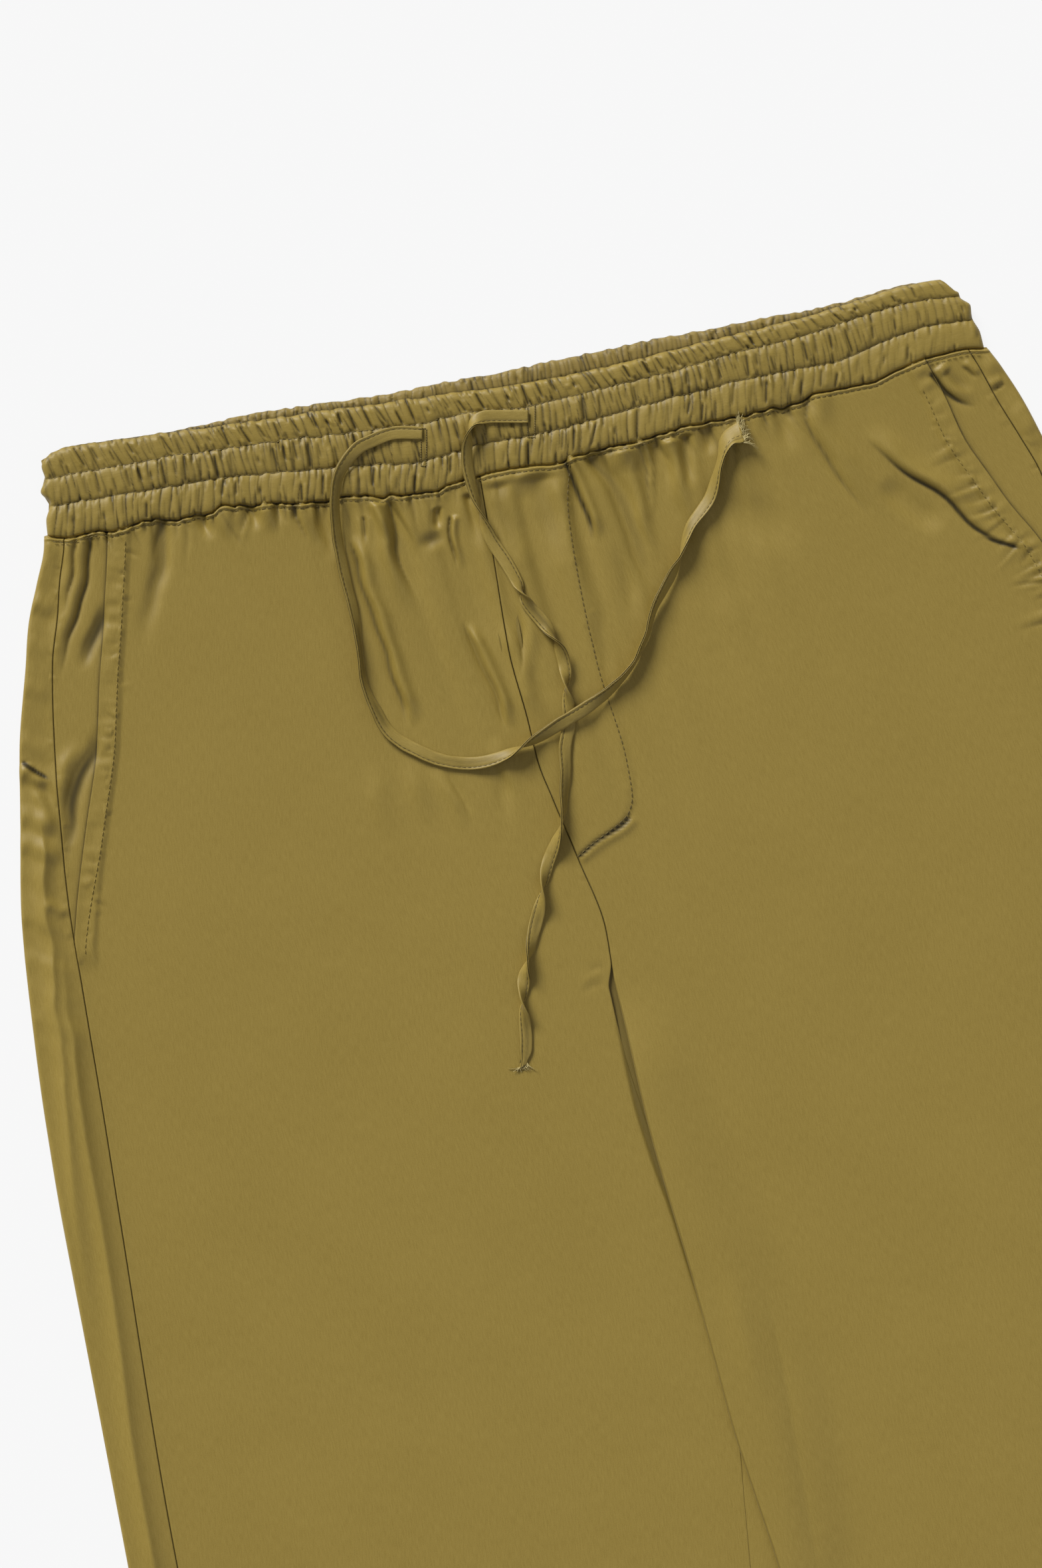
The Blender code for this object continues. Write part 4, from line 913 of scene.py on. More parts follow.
@dataclass
class LegPanels:
    """One leg: its front panel, and its back panel, which rolls over to the front along the side."""

    cloth: Cloth
    side: Side
    front_columns: int = 232
    return_columns: int = 44
    floor_columns: int = 40

    @property
    def sign(self) -> float:
        """The sign of x on this leg's side."""
        return float(self.side.value)

    @property
    def name(self) -> str:
        """The leg's word in the names of its pieces."""
        return self.side.name.lower()

    @property
    def cut(self) -> SideCut:
        """The lines of this leg's side."""
        return CUT[self.side]

    def outer_edge(self, drop: Array) -> Array:
        """The front's outer edge: the pocket's mouth, and the side seam below it."""
        closed = 12.0 * ease((drop - POCKET_END) / 8.0)
        return np.minimum(self.cut.mouth.at(drop) + closed, self.cut.seam.at(drop) - 0.1)

    def inner_edge(self, drop: Array) -> Array:
        """The front's inner edge: the centre seam, and the inseam or the inner fold below the crotch."""
        below = RIGHT_INSEAM.at(drop)
        if self.side is Side.LEFT:
            below = LEFT_FOLD.at(drop) + self.inner_radius(drop)
        share = below_crotch(drop)
        return (CENTRE_SEAM.at(drop) + self.sign * (0.1 + SEAM_RADIUS)) * (1 - share) + below * share

    def inner_radius(self, drop: Array) -> Array:
        """Half the leg's thickness at its inner fold below the crotch, and a turned-in edge's above it."""
        if self.side is Side.RIGHT:
            return np.full_like(drop, SEAM_RADIUS)
        share = below_crotch(drop, 6.0, 26.0)
        return SEAM_RADIUS * (1 - share) + FLAT_LEVEL / 2 * share

    def front(self) -> Piece:
        """The front panel: a grid from the outer to the inner edge, with both edges and the hem turned in.

        Returns:
            The panel's object.
        """
        rows = PANEL_ROWS
        outer = settled(rows, self.sign, self.outer_edge)
        inner = self.inner_edge(rows)
        x = spread_between(outer - self.sign * SEAM_RADIUS, inner, self.front_columns)
        drop = row_drop(rows[:, None], x)
        z, crease = self.cloth.top(self.side, x, drop)
        points = on_plan(x, drop, z)
        first = turned_edge(points[:, 0], SEAM_RADIUS, SEAM_TURN, self.sign)[:, ::-1]
        turn = SEAM_TURN if self.side is Side.RIGHT else INNER_RETURN
        last = turned_edge(points[:, -1], self.inner_radius(rows), turn, -self.sign)
        points = np.concatenate((first, points, last), axis=1)
        crease = np.pad(crease, ((0, 0), (first.shape[1], last.shape[1])))
        # Painted shade on both turned-in edges.
        crease[:, : first.shape[1]] = crease[:, -last.shape[1] :] = SEAM_SHADE
        patch = Patch(points, crease)
        if self.side is Side.LEFT:
            patch = Patch(points[:, ::-1], crease[:, ::-1])
        return turned_hem(patch).object(f"front_panel_{self.name}")

    def back(self) -> Piece:
        """The back panel: its return on the front, the roll round the side, and the floor side.

        Each row is a profile of the leg: half a circle joins the return, whose height follows the cloth, to
        the floor side. Below the crotch the right leg's profile rolls up again at its inner fold.

        Returns:
            The panel's object.
        """
        rows, sign = PANEL_ROWS[1:], self.sign
        edge = settled(rows, sign, self.cut.edge.at)
        seam = settled(rows, sign, lambda at: self.cut.seam.at(at) + 0.1 + SEAM_RADIUS)
        top_x = edge - sign * 1.5
        radius = self.cloth.backing(top_x, row_drop(rows, top_x))[0] / 2
        centre = edge - sign * radius
        across = np.linspace(0, 1, self.return_columns)
        x = between(seam, centre, across)
        drop = row_drop(rows[:, None], x)
        z, crease = self.cloth.backing(x, drop)
        meet = ease((across - 0.6) / 0.4)
        z = z * (1 - meet) + 2 * radius[:, None] * meet
        returned = on_plan(x, drop, z)
        first = turned_edge(returned[:, 0], SEAM_RADIUS, SEAM_TURN / 2, -sign)[:, ::-1]
        angle = np.radians(np.linspace(0, 180, 13))[None, 1:]
        roll_x = centre[:, None] + sign * radius[:, None] * np.sin(angle)
        roll_z = radius[:, None] * (1 + np.cos(angle))
        inner, inner_z = self.floor_end(rows)
        floor_x = between(centre, inner[:, 0], np.linspace(0, 1, self.floor_columns)[1:])
        floor_z = self.floor_level(floor_x, rows)
        x = np.concatenate((roll_x, floor_x, inner[:, 1:]), axis=1)
        z = np.concatenate((roll_z, floor_z, inner_z[:, 1:]), axis=1)
        under = on_plan(x, row_drop(rows[:, None], x), z)
        points = np.concatenate((first, returned, under), axis=1)
        crease = np.pad(crease, ((0, 0), (first.shape[1], under.shape[1])))
        # Painted shade on the turned-in edge at the side seam.
        crease[:, : first.shape[1]] = SEAM_SHADE
        if self.side is Side.RIGHT:
            # Painted shade on the right leg's inner roll, in the gap under the left leg.
            crease[:, -inner.shape[1] + 1 :] = 0.55 * (1 - ease((rows - 400.0) / 60.0))[:, None]
        patch = Patch(points[:, ::-1], crease[:, ::-1])
        if self.side is Side.LEFT:
            patch = Patch(points, crease)
        return turned_hem(patch).object(f"back_panel_{self.name}")

    def floor_level(self, x: Array, rows: Array) -> Array:
        """Height of the floor side, which only the left leg's ride on the right one lifts."""
        if self.side is Side.RIGHT:
            return np.zeros_like(x)
        return self.cloth.leg_lift(x, np.broadcast_to(rows[:, None], x.shape))

    def floor_end(self, rows: Array) -> tuple[Array, Array]:
        """The inner end of the floor side: flat to the seam, or rolled up round the right leg's inner fold.

        Args:
            rows: The panel's rows.

        Returns:
            The x and the height of the last columns, from the floor's end on.
        """
        if self.side is Side.LEFT:
            below = LEFT_FOLD.at(rows) + INNER_RETURN + 0.3
            share = below_crotch(rows)
            end = (CENTRE_SEAM.at(rows) - 1.8) * (1 - share) + below * share
            x = end[:, None] + np.array((5.0, 2.5, 0.0))[None, :]
            lap = 0.5 * (1 - share)[:, None] * np.array((0.0, 1.0, 1.0))[None, :]
            return x, self.floor_level(x, rows) + lap
        radius = FLAT_LEVEL / 2 - 0.1
        raised = 0.3 + 0.7 * rise(rows, LEG_LIFT_START)[:, None]
        share = below_crotch(rows, 16.0)[:, None]
        angle = np.radians(np.linspace(0, 180, 10))[None, :]
        lapped = np.maximum(RIGHT_FOLD.at(rows), LEFT_FOLD.at(rows) + 1.0)
        edge = np.where(rows < 300.0, lapped, RIGHT_FOLD.at(rows))
        fold = (edge - radius)[:, None]
        back = (RIGHT_INSEAM.at(rows)[:, None] + 0.3 - fold) * np.array((0.5, 1.0))[None, :] + fold
        rolled_x = np.concatenate((fold + radius * np.sin(angle), back), axis=1)
        circle_z = np.broadcast_to(radius * (1 - np.cos(angle)), (len(rows), angle.shape[1]))
        rolled_z = np.concatenate((circle_z, np.full_like(back, 2 * radius)), axis=1)
        seam = (CENTRE_SEAM.at(rows) - 0.15)[:, None]
        flat_x = seam - np.linspace(9.0, 0.0, rolled_x.shape[1])[None, :]
        return flat_x * (1 - share) + rolled_x * share, rolled_z * raised


@dataclass
class PocketBacking:
    """The slanted pocket's backing, from the side seam to a little way under the front."""

    cloth: Cloth
    leg: LegPanels
    columns: int = 46

    def build(self) -> Piece:
        """A grid between the side seam and the hidden edge, at the level of the cloth around it."""
        rows = PANEL_ROWS[PANEL_ROWS < POCKET_END + 6.0]
        sign = self.leg.sign
        seam = settled(rows, sign, lambda at: self.leg.cut.seam.at(at) - 0.1 - SEAM_RADIUS)
        mouth = settled(rows, sign, self.leg.outer_edge)
        inner = mouth - sign * POCKET_TUCK
        x = between(seam, inner, np.linspace(0, 1, self.columns))
        drop = row_drop(rows[:, None], x)
        z, crease = self.cloth.backing(x, drop)
        inward = (mouth[:, None] - x) * sign
        z = z - 0.35 * ease(inward / 2.5)
        # Painted shade along the pocket's mouth, where the backing runs in under the front.
        away = np.abs(inward)
        crease = np.clip(crease + 0.8 * np.exp(-away / 0.45) + 0.25 * np.exp(-away / 2.2), 0, 1)
        points = on_plan(x, drop, z)
        first = turned_edge(points[:, 0], SEAM_RADIUS, SEAM_TURN / 2, sign)[:, ::-1]
        points = np.concatenate((first, points), axis=1)
        # Painted shade on the turned-in edge at the side seam.
        crease = np.pad(crease, ((0, 0), (first.shape[1], 0)), constant_values=SEAM_SHADE)
        patch = Patch(points, crease)
        if sign > 0:
            patch = Patch(points[:, ::-1], crease[:, ::-1])
        return patch.object(f"pocket_backing_{self.leg.name}")


@dataclass
class FlyLayer:
    """The mock fly's inner layer, which ends in a curve like a J under the left front."""

    cloth: Cloth
    columns: int = 24

    def build(self) -> Piece:
        """A grid between the centre seam and the fly's edge, just under the front."""
        rows = np.linspace(2.5, FLY_END, 110)
        start = CENTRE_SEAM.at(rows) + 1.0
        end = np.maximum(FLY_EDGE.at(rows) - 1.5, start + 2.0)
        x = between(start, end, np.linspace(0, 1, self.columns))
        drop = row_drop(rows[:, None], x)
        z = self.cloth.top(Side.LEFT, x, drop)[0] - FLY_LIFT - 0.15
        points = on_plan(x, drop, np.maximum(z, 0.8))
        return Patch(points[:, ::-1], np.zeros_like(x)).object("fly_layer")


@dataclass(frozen=True)
class BandCrease:
    """One gather of the waistband: a sharp valley across a channel with a soft ridge beside it."""

    x: float
    slant: float
    width: float
    depth: float
    start: float
    end: float
    ridge_side: float

    def press(self, x: Array, across: Array, height: Array, crease: Array) -> None:
        """Adds the gather to a channel's heights and to the painted shade in its valley, given shares across
        the channel.
        """
        near = np.abs(x - self.x) < 9.0
        if not near.any():
            return
        t = across[near]
        away = x[near] - self.x - self.slant * (0.5 - t)
        window = ease((t - self.start) / 0.16) * ease((self.end - t) / 0.16)
        valley = np.exp(-np.abs(away) / self.width)
        ridge = np.exp(-((away * self.ridge_side / self.width - 2.4) ** 2) / 3.0)
        height[near] += self.depth * window * (0.55 * ridge - valley)
        # Painted shade along the gather's valley.
        crease[near] += min(self.depth, 1.2) * 1.2 * window * np.exp(-np.abs(away) / 0.4)


@dataclass(frozen=True)
class Channel:
    """How the gathers of one channel of the band run."""

    spacing: tuple[float, float]
    slant: float
    depths: tuple[float, float]
    seed: int
    pleat: tuple[float, float] = (1.9, 5.2)

    def pleats(self, x: Array, t: Array, part: int) -> tuple[Array, Array]:
        """Rounded pleats with a sharp valley between each two, all across the channel.

        Args:
            x: Places along the band.
            t: Shares across the channel.
            part: Picks one of the channel's sets of pleats.

        Returns:
            Heights, none above zero, and shares of painted shade in the valleys.
        """
        rng = np.random.default_rng(self.seed * 10 + part)
        valleys = np.cumsum(rng.uniform(*self.pleat, 200)) + (BAND_FROM - 20.0)
        strength = rng.uniform(0.25, 1.0, 201)
        place = x - self.slant * (0.5 - t) + 0.5 * np.sin(3.1 * t + x / 9.0)
        i = np.clip(np.searchsorted(valleys, place), 1, len(valleys) - 1)
        left, right = valleys[i - 1], valleys[i]
        width = right - left
        share = np.clip((place - left) / width, 0.0, 1.0)
        dip = np.sqrt(np.clip(1 - (2 * share - 1) ** 2, 0.0, 1.0)) - 1
        height = 0.14 * width * strength[i] * dip
        away = np.minimum(share, 1 - share) * width
        return height, strength[i] ** 1.5 * (0.9 * np.exp(-away / 0.3) + 0.22 * np.exp(-away / 0.9))

    def creases(self) -> list[BandCrease]:
        """The channel's long gathers and the short pinches at its lines of stitching."""
        rng = np.random.default_rng(self.seed)
        found = []
        x = BAND_FROM
        while x < BAND_TO:
            calm = 1 - 0.75 * float(ease((np.float64(x) - 128.0) / 60.0))
            calm *= 1 - 0.4 * float(ease((-188.0 - np.float64(x)) / 14.0))
            x += rng.uniform(*self.spacing) / (0.4 + 0.6 * calm)
            start, end = rng.choice((0.0, 0.12, 0.3)), rng.choice((1.0, 0.88, 0.66))
            depth = rng.uniform(*self.depths) * (0.35 + 0.65 * calm) * (0.4 if rng.random() < 0.3 else 1.0)
            slant = self.slant + rng.normal(0, 1.1)
            width, side = rng.uniform(0.5, 1.0), rng.choice((-1.0, 1.0))
            found.append(BandCrease(x, slant, width, depth, start, end, side))
        x = BAND_FROM
        while x < BAND_TO:
            x += rng.uniform(2.0, 4.6)
            low = rng.random() < 0.5
            reach = rng.uniform(0.16, 0.4)
            start, end = (-0.2, reach) if low else (1 - reach, 1.2)
            depth = rng.uniform(0.2, 0.75)
            found.append(BandCrease(x, self.slant * 0.6, 0.55, depth, start, end, rng.choice((-1.0, 1.0))))
        return found


@dataclass
class Waistband:
    """The gathered waistband: three channels of the front half, and the back half's inside above them."""

    columns: int = 1280
    rows: int = 22
    length: float = 430.0
    base: float = 2.5
    stitch_level: float = 4.4
    crown: float = 5.7
    back_level: float = 2.1
    back_crown: float = 2.6
    covered: float = 0.86
    channels: tuple[Channel, ...] = (
        Channel((5.5, 11.0), -3.0, (0.5, 1.2), 61, (2.6, 6.4)),
        Channel((4.0, 8.0), 0.2, (0.45, 1.1), 62, (2.2, 4.8)),
        Channel((5.0, 9.5), 3.6, (0.6, 1.3), 63, (3.2, 6.6)),
    )
    back_channel: Channel = Channel((4.6, 8.4), 0.0, (0.25, 0.7), 64, (1.8, 4.0))

    def line(self, channel: int, x: Array) -> Array:
        """Height on the plan of the band's line under a channel: the seam, both stitch lines and the top."""
        if channel == 0:
            return seam_height(x)
        lines = (LOW_STITCH, HIGH_STITCH, FRONT_TOP)
        strength = 0.35 + 0.65 * gathering(x)
        ripple = wobble(x, 3.4, 0.42, 70 + channel) + wobble(x, 1.5, 0.16, 74 + channel)
        return lines[channel - 1].at(x) + strength * ripple

    def x_at(self, along: Array, across: Array) -> Array:
        """The x at shares along and across the band, between its uneven ends."""
        right, left = BAND_RIGHT_END.at(across), BAND_LEFT_END.at(across)
        return -right + along * (right + left)

    def channel_surface(self, channel: int, x: Array, t: Array) -> tuple[Array, Array]:
        """Height and painted shade in a channel: a crown between its two lines of stitching, then its
        gathers.

        Args:
            channel: Which channel, from the seam up.
            x: Places along it.
            t: Shares across it, from the lower line to the upper one.

        Returns:
            Heights in millimetres and shares of painted shade.
        """
        low = self.stitch_level - 0.4 if channel == 0 else self.stitch_level
        high = self.base if channel == 2 else self.stitch_level
        foot = low * (1 - t) + high * t
        crown = self.crown - (0.5 if channel == 2 else 0.0)
        bulge = np.clip(1 - np.abs(2 * t - 1) ** 3.4, 0, 1) ** 0.7
        height = foot + (crown - foot) * bulge
        height += bulge * (wobble(x + 3.0 * t, 5.4, 0.25, 80 + channel) + wobble(x, 15.0, 0.3, 84 + channel))
        calm = 1 - 0.6 * ease((x - 128.0) / 60.0) * (1.0 if channel == 0 else 0.6)
        upper = ease((t - 0.25) / 0.5)
        crease = np.zeros_like(height)
        for part, weight in enumerate((1 - 0.75 * upper, 0.25 + 0.75 * upper)):
            dip, shade = self.channels[channel].pleats(x, t, part)
            height += calm * weight * dip * (0.35 + 0.65 * bulge)
            crease += calm * weight * shade
        for one in self.channels[channel].creases():
            one.press(x, t, height, crease)
        edge = np.minimum(t, 1 - t)
        # Painted shade along the channel's edges at its stitching, left out at the top's free ends.
        free_end = ease((np.abs(x) - 194.0) / 8.0) * (t > 0.5) if channel == 2 else 0.0
        crease += (1 - free_end) * 0.5 * np.exp(-edge / 0.02) * (0.6 + wobble(x, 1.3, 0.4, 90 + channel))
        return np.maximum(height, self.base + 0.3), np.clip(crease, 0, 1)

    def ends(self, along: Array, across: Array, height: Array) -> Array:
        """Heights with both ends of the band rounded down to its base over a few millimetres."""
        right, left = BAND_RIGHT_END.at(across), BAND_LEFT_END.at(across)
        inside = np.minimum(along, 1 - along) * (right + left)
        return self.base + (height - self.base) * rounded(inside, 3.2)

    def along(self) -> Array:
        """Shares along the band: even, with a few closer ones at both ends."""
        near = np.array((0.0, 0.0004, 0.0012, 0.0025))
        return np.concatenate((near, np.linspace(0.004, 0.996, self.columns - 8), 1 - near[::-1]))

    def front(self) -> Piece:
        """The front half: rings of cloth round the three channels and back along the flat underside."""
        along = self.along()
        parts, creases = [], []
        for channel in range(3):
            t = np.linspace(0, 1, self.rows)
            t = (t - 0.055 * np.sin(2 * np.pi * t))[None, (0 if channel == 0 else 1) :]
            across = (channel + t) / 3
            x = self.x_at(along[:, None], across)
            low, high = self.line(channel, x), self.line(channel + 1, x)
            z, crease = self.channel_surface(channel, x, np.broadcast_to(t, x.shape))
            z = self.ends(along[:, None], across, z)
            if channel == 0:
                z[:, 0], z[:, 1] = self.base, self.base + 0.5 * (z[:, 1] - self.base)
            y = low + (high - low) * t
            parts.append(np.stack((x, WAIST_Y + y, z), axis=-1))
            creases.append(crease)
        top = np.concatenate(parts, axis=1)
        share = np.linspace(0.92, 0.08, 5)[None, :, None]
        under = top[:, :1] * (1 - share) + top[:, -1:] * share
        under[..., 2] = self.base
        points = np.concatenate((top, under), axis=1)
        crease = np.pad(np.concatenate(creases, axis=1), ((0, 0), (0, under.shape[1])))
        return Patch(points, crease).object("waistband_front_gathers", flip=True, ring=True)

    def back(self) -> Piece:
        """The back half: a flat ring under the front, with its gathered inside as a strip above it."""
        along = self.along()
        across = np.linspace(0, self.covered, 6), np.linspace(self.covered + 0.015, 1.0, 13)
        across = np.concatenate(across)[None, :]
        x = self.x_at(along[:, None], across)
        front = FRONT_TOP.at(x)
        above = BACK_TOP.at(x) + 0.45 * wobble(x, 2.6, 1.0, 95) - front
        shown = ease((x + 204.0) / 12.0) * (1 - ease((x - 186.0) / 14.0))
        top = front - 0.8 + shown * np.maximum(above + 0.8, 1.2)
        low = seam_height(x) + 0.4
        share = (across - self.covered) / (1 - self.covered)
        hidden = low + (front - 2.0 - low) * across / self.covered
        y = np.where(share < 0, hidden, front - 2.0 + (top - front + 2.0) * share)
        t = np.clip(np.broadcast_to(share, x.shape), 0, 1)
        z = np.full_like(x, self.back_level)
        crease = np.zeros_like(x)
        bulge = np.clip(1 - t**5, 0, 1) ** 0.5
        z += (self.back_crown - self.back_level + wobble(x, 2.2, 0.35, 96)) * ease(t / 0.3) * bulge
        z -= 2.0 * (1 - bulge)
        # Painted shade in the valleys of the gathers.
        dip, shade = self.back_channel.pleats(x, t, 0)
        z += dip * (share > 0)
        crease += shade
        for one in self.back_channel.creases():
            one.press(x, t, z, crease)
        z = np.clip(z, 0.1, None)
        z[:, (share < 0)[0]] = self.back_level
        z = z * rounded(np.minimum(along, 1 - along)[:, None] * self.length, 3.0)
        crease = np.clip(crease, 0, 1) * (share > 0)
        # Painted shade just under the front half's top edge.
        crease += 0.45 * np.exp(-np.abs(y - front) / 0.6)
        points = np.stack((x, WAIST_Y + y, z), axis=-1)
        back = np.linspace(0.95, 0.05, 4)[None, :, None]
        under = points[:, :1] * (1 - back) + points[:, -1:] * back
        under[..., 2] = 0.0
        points[:, 0, 2] = 0.0
        points = np.concatenate((points, under), axis=1)
        crease = np.pad(np.clip(crease, 0, 1), ((0, 0), (0, under.shape[1])))
        return Patch(points, crease).object("waistband_back_gathers", flip=True, ring=True)

    def top(self, x: Array, height: Array) -> Array:
        """The front half's upper side at places on the plan, given as an x and a height on the band."""
        lines = [self.line(channel, x) for channel in range(4)]
        result = np.full(x.shape, self.base)
        for channel in range(3):
            t = (height - lines[channel]) / (lines[channel + 1] - lines[channel])
            inside = (t >= 0) & (t <= 1)
            z = self.channel_surface(channel, x, np.clip(t, 0, 1))[0]
            result = np.where(inside, z, result)
        return result


@dataclass(frozen=True)
class Stitches:
    """Lines of lockstitch on the cloth, each stitch a small rounded bead of thread."""

    pitch: float = 2.7
    length: float = 1.9
    radius: float = 0.24
    sink: float = 0.06
    sides: int = 6

    def beads(self, path: Array) -> Array:
        """Beads along a path: each is a short tube with pointed ends, turned along the path.

        Args:
            path: Points along the sewing, in millimetres.

        Returns:
            Points by bead, ring and side.
        """
        run = distances(path)
        middle = np.arange(self.pitch / 2, run[-1], self.pitch)

        def places(at: Array) -> Array:
            """Points at distances along the path."""
            return np.stack([np.interp(at, run, path[:, k]) for k in range(3)], axis=1)

        along = unit(places(middle + self.length / 2) - places(middle - self.length / 2))[:, None, None]
        across = unit(np.cross((0.0, 0.0, 1.0), along[:, 0, 0]))[:, None, None]
        up = np.cross(along, across)
        step = np.array((-1.0, -0.8, 0.0, 0.8, 1.0)) * self.length / 2
        size = np.array((0.25, 0.8, 1.0, 0.8, 0.25)) * self.radius
        angle = np.linspace(0, 2 * np.pi, self.sides, endpoint=False)
        ring = size[:, None, None] * np.stack((np.cos(angle), np.sin(angle)), axis=-1)[None]
        points = places(middle)[:, None, None] + step[None, :, None, None] * along
        return points + ring[None, ..., :1] * across + ring[None, ..., 1:] * up

    def object(self, name: str, paths: Sequence[Array]) -> Piece:
        """All beads along some paths as one mesh object."""
        points = np.concatenate([self.beads(path) for path in paths])
        return mesh_object(name, points, tube_faces(points.shape[1], self.sides, len(points)))


# Across, up and how much painted shade, from the ribbon's folded edge over its stitching to the edge where
# its lips meet; the shade is painted in the stitching's groove and where the lips turn under
RIBBON_HALF = (
    (-2.82, 0.24, 0.0),
    (-2.55, 0.42, 0.0),
    (-1.8, 0.48, 0.0),
    (-0.6, 0.5, 0.0),
    (0.6, 0.47, 0.0),
    (1.3, 0.42, 0.05),
    (1.72, 0.24, 0.5),
    (2.05, 0.44, 0.05),
    (2.45, 0.53, 0.0),
    (2.8, 0.46, 0.0),
    (2.93, 0.3, 0.1),
    (2.8, 0.14, 0.7),
    (2.25, 0.03, 1.0),
)
RIBBON_UNDER = tuple((across, -up, dark) for across, up, dark in RIBBON_HALF[::-1])
RIBBON_SECTION = np.array(((-CORD_WIDTH / 2, 0.0, 0.0),) + RIBBON_HALF + RIBBON_UNDER)


@dataclass(frozen=True)
class Stop:
    """A place on a drawstring's route, in metres, and the ribbon's tilt there, in degrees."""

    x: float
    drop: float
    tilt: float


def route(*stops: tuple[float, float, float]) -> tuple[Stop, ...]:
    """The stops of a route, each given by its x, drop and tilt."""
    return tuple(Stop(*stop) for stop in stops)


LEFT_ROUTE = route(
    (-0.0400, -0.0222, 0), (-0.0524, -0.0246, 0), (-0.0631, -0.0230, 5), (-0.0710, -0.0202, 15),
    (-0.0799, -0.0115, 38), (-0.0841, -0.0007, 46), (-0.0862, 0.0136, 44), (-0.0865, 0.0309, 38),
    (-0.0856, 0.0485, 44), (-0.0859, 0.0661, 66), (-0.0868, 0.0819, 62), (-0.0842, 0.0958, 40),
    (-0.0793, 0.1083, 18), (-0.0694, 0.1175, 8), (-0.0577, 0.1247, 4), (-0.0437, 0.1283, 8),
    (-0.0303, 0.1271, 35), (-0.0164, 0.1231, 130), (-0.0039, 0.1181, 160), (0.0086, 0.1135, 165),
    (0.0217, 0.1071, 130), (0.0336, 0.0978, 105), (0.0414, 0.0874, 110), (0.0485, 0.0741, 120),
    (0.0582, 0.0616, 135), (0.0640, 0.0538, 90), (0.0705, 0.0419, 40), (0.0815, 0.0309, 25),
    (0.0883, 0.0175, 60), (0.0940, 0.0070, 44), (0.1013, 0.0038, 22),
)
RIGHT_ROUTE = route(
    (0.0082, -0.0206, 180), (-0.0024, -0.0227, 180), (-0.0120, -0.0240, 178), (-0.0174, -0.0215, 120),
    (-0.0204, -0.0150, 50), (-0.0221, -0.0087, 35), (-0.0228, -0.0006, 35), (-0.0217, 0.0127, 60),
    (-0.0190, 0.0291, 165), (-0.0140, 0.0417, 185), (-0.0104, 0.0528, 215), (-0.0079, 0.0621, 345),
    (-0.0015, 0.0737, 375), (0.0026, 0.0848, 500), (0.0032, 0.0948, 555), (0.0020, 0.1034, 640),
    (0.0015, 0.1121, 715), (0.0003, 0.1191, 725), (-0.0033, 0.1285, 735), (-0.0050, 0.1384, 750),
    (-0.0078, 0.1498, 772), (-0.0106, 0.1609, 800), (-0.0156, 0.1701, 862), (-0.0208, 0.1787, 905),
    (-0.0245, 0.1875, 965), (-0.0282, 0.1978, 1058), (-0.0329, 0.2079, 1092), (-0.0369, 0.2178, 1150),
    (-0.0408, 0.2268, 1236), (-0.0434, 0.2369, 1335), (-0.0444, 0.2467, 1420), (-0.0452, 0.2545, 1445),
    (-0.0467, 0.2611, 1445), (-0.0490, 0.2668, 1440),
)
CROSSING = (1.5, 115.0)
CROSSING_REACH = 14.0


def running(values: Array, reach: int, how: Callable[..., Array]) -> Array:
    """A running maximum or mean of the values over a few neighbours each way."""
    padded = np.pad(values, reach, mode="edge")
    windows = np.lib.stride_tricks.sliding_window_view(padded, 2 * reach + 1)
    return how(windows, axis=1)


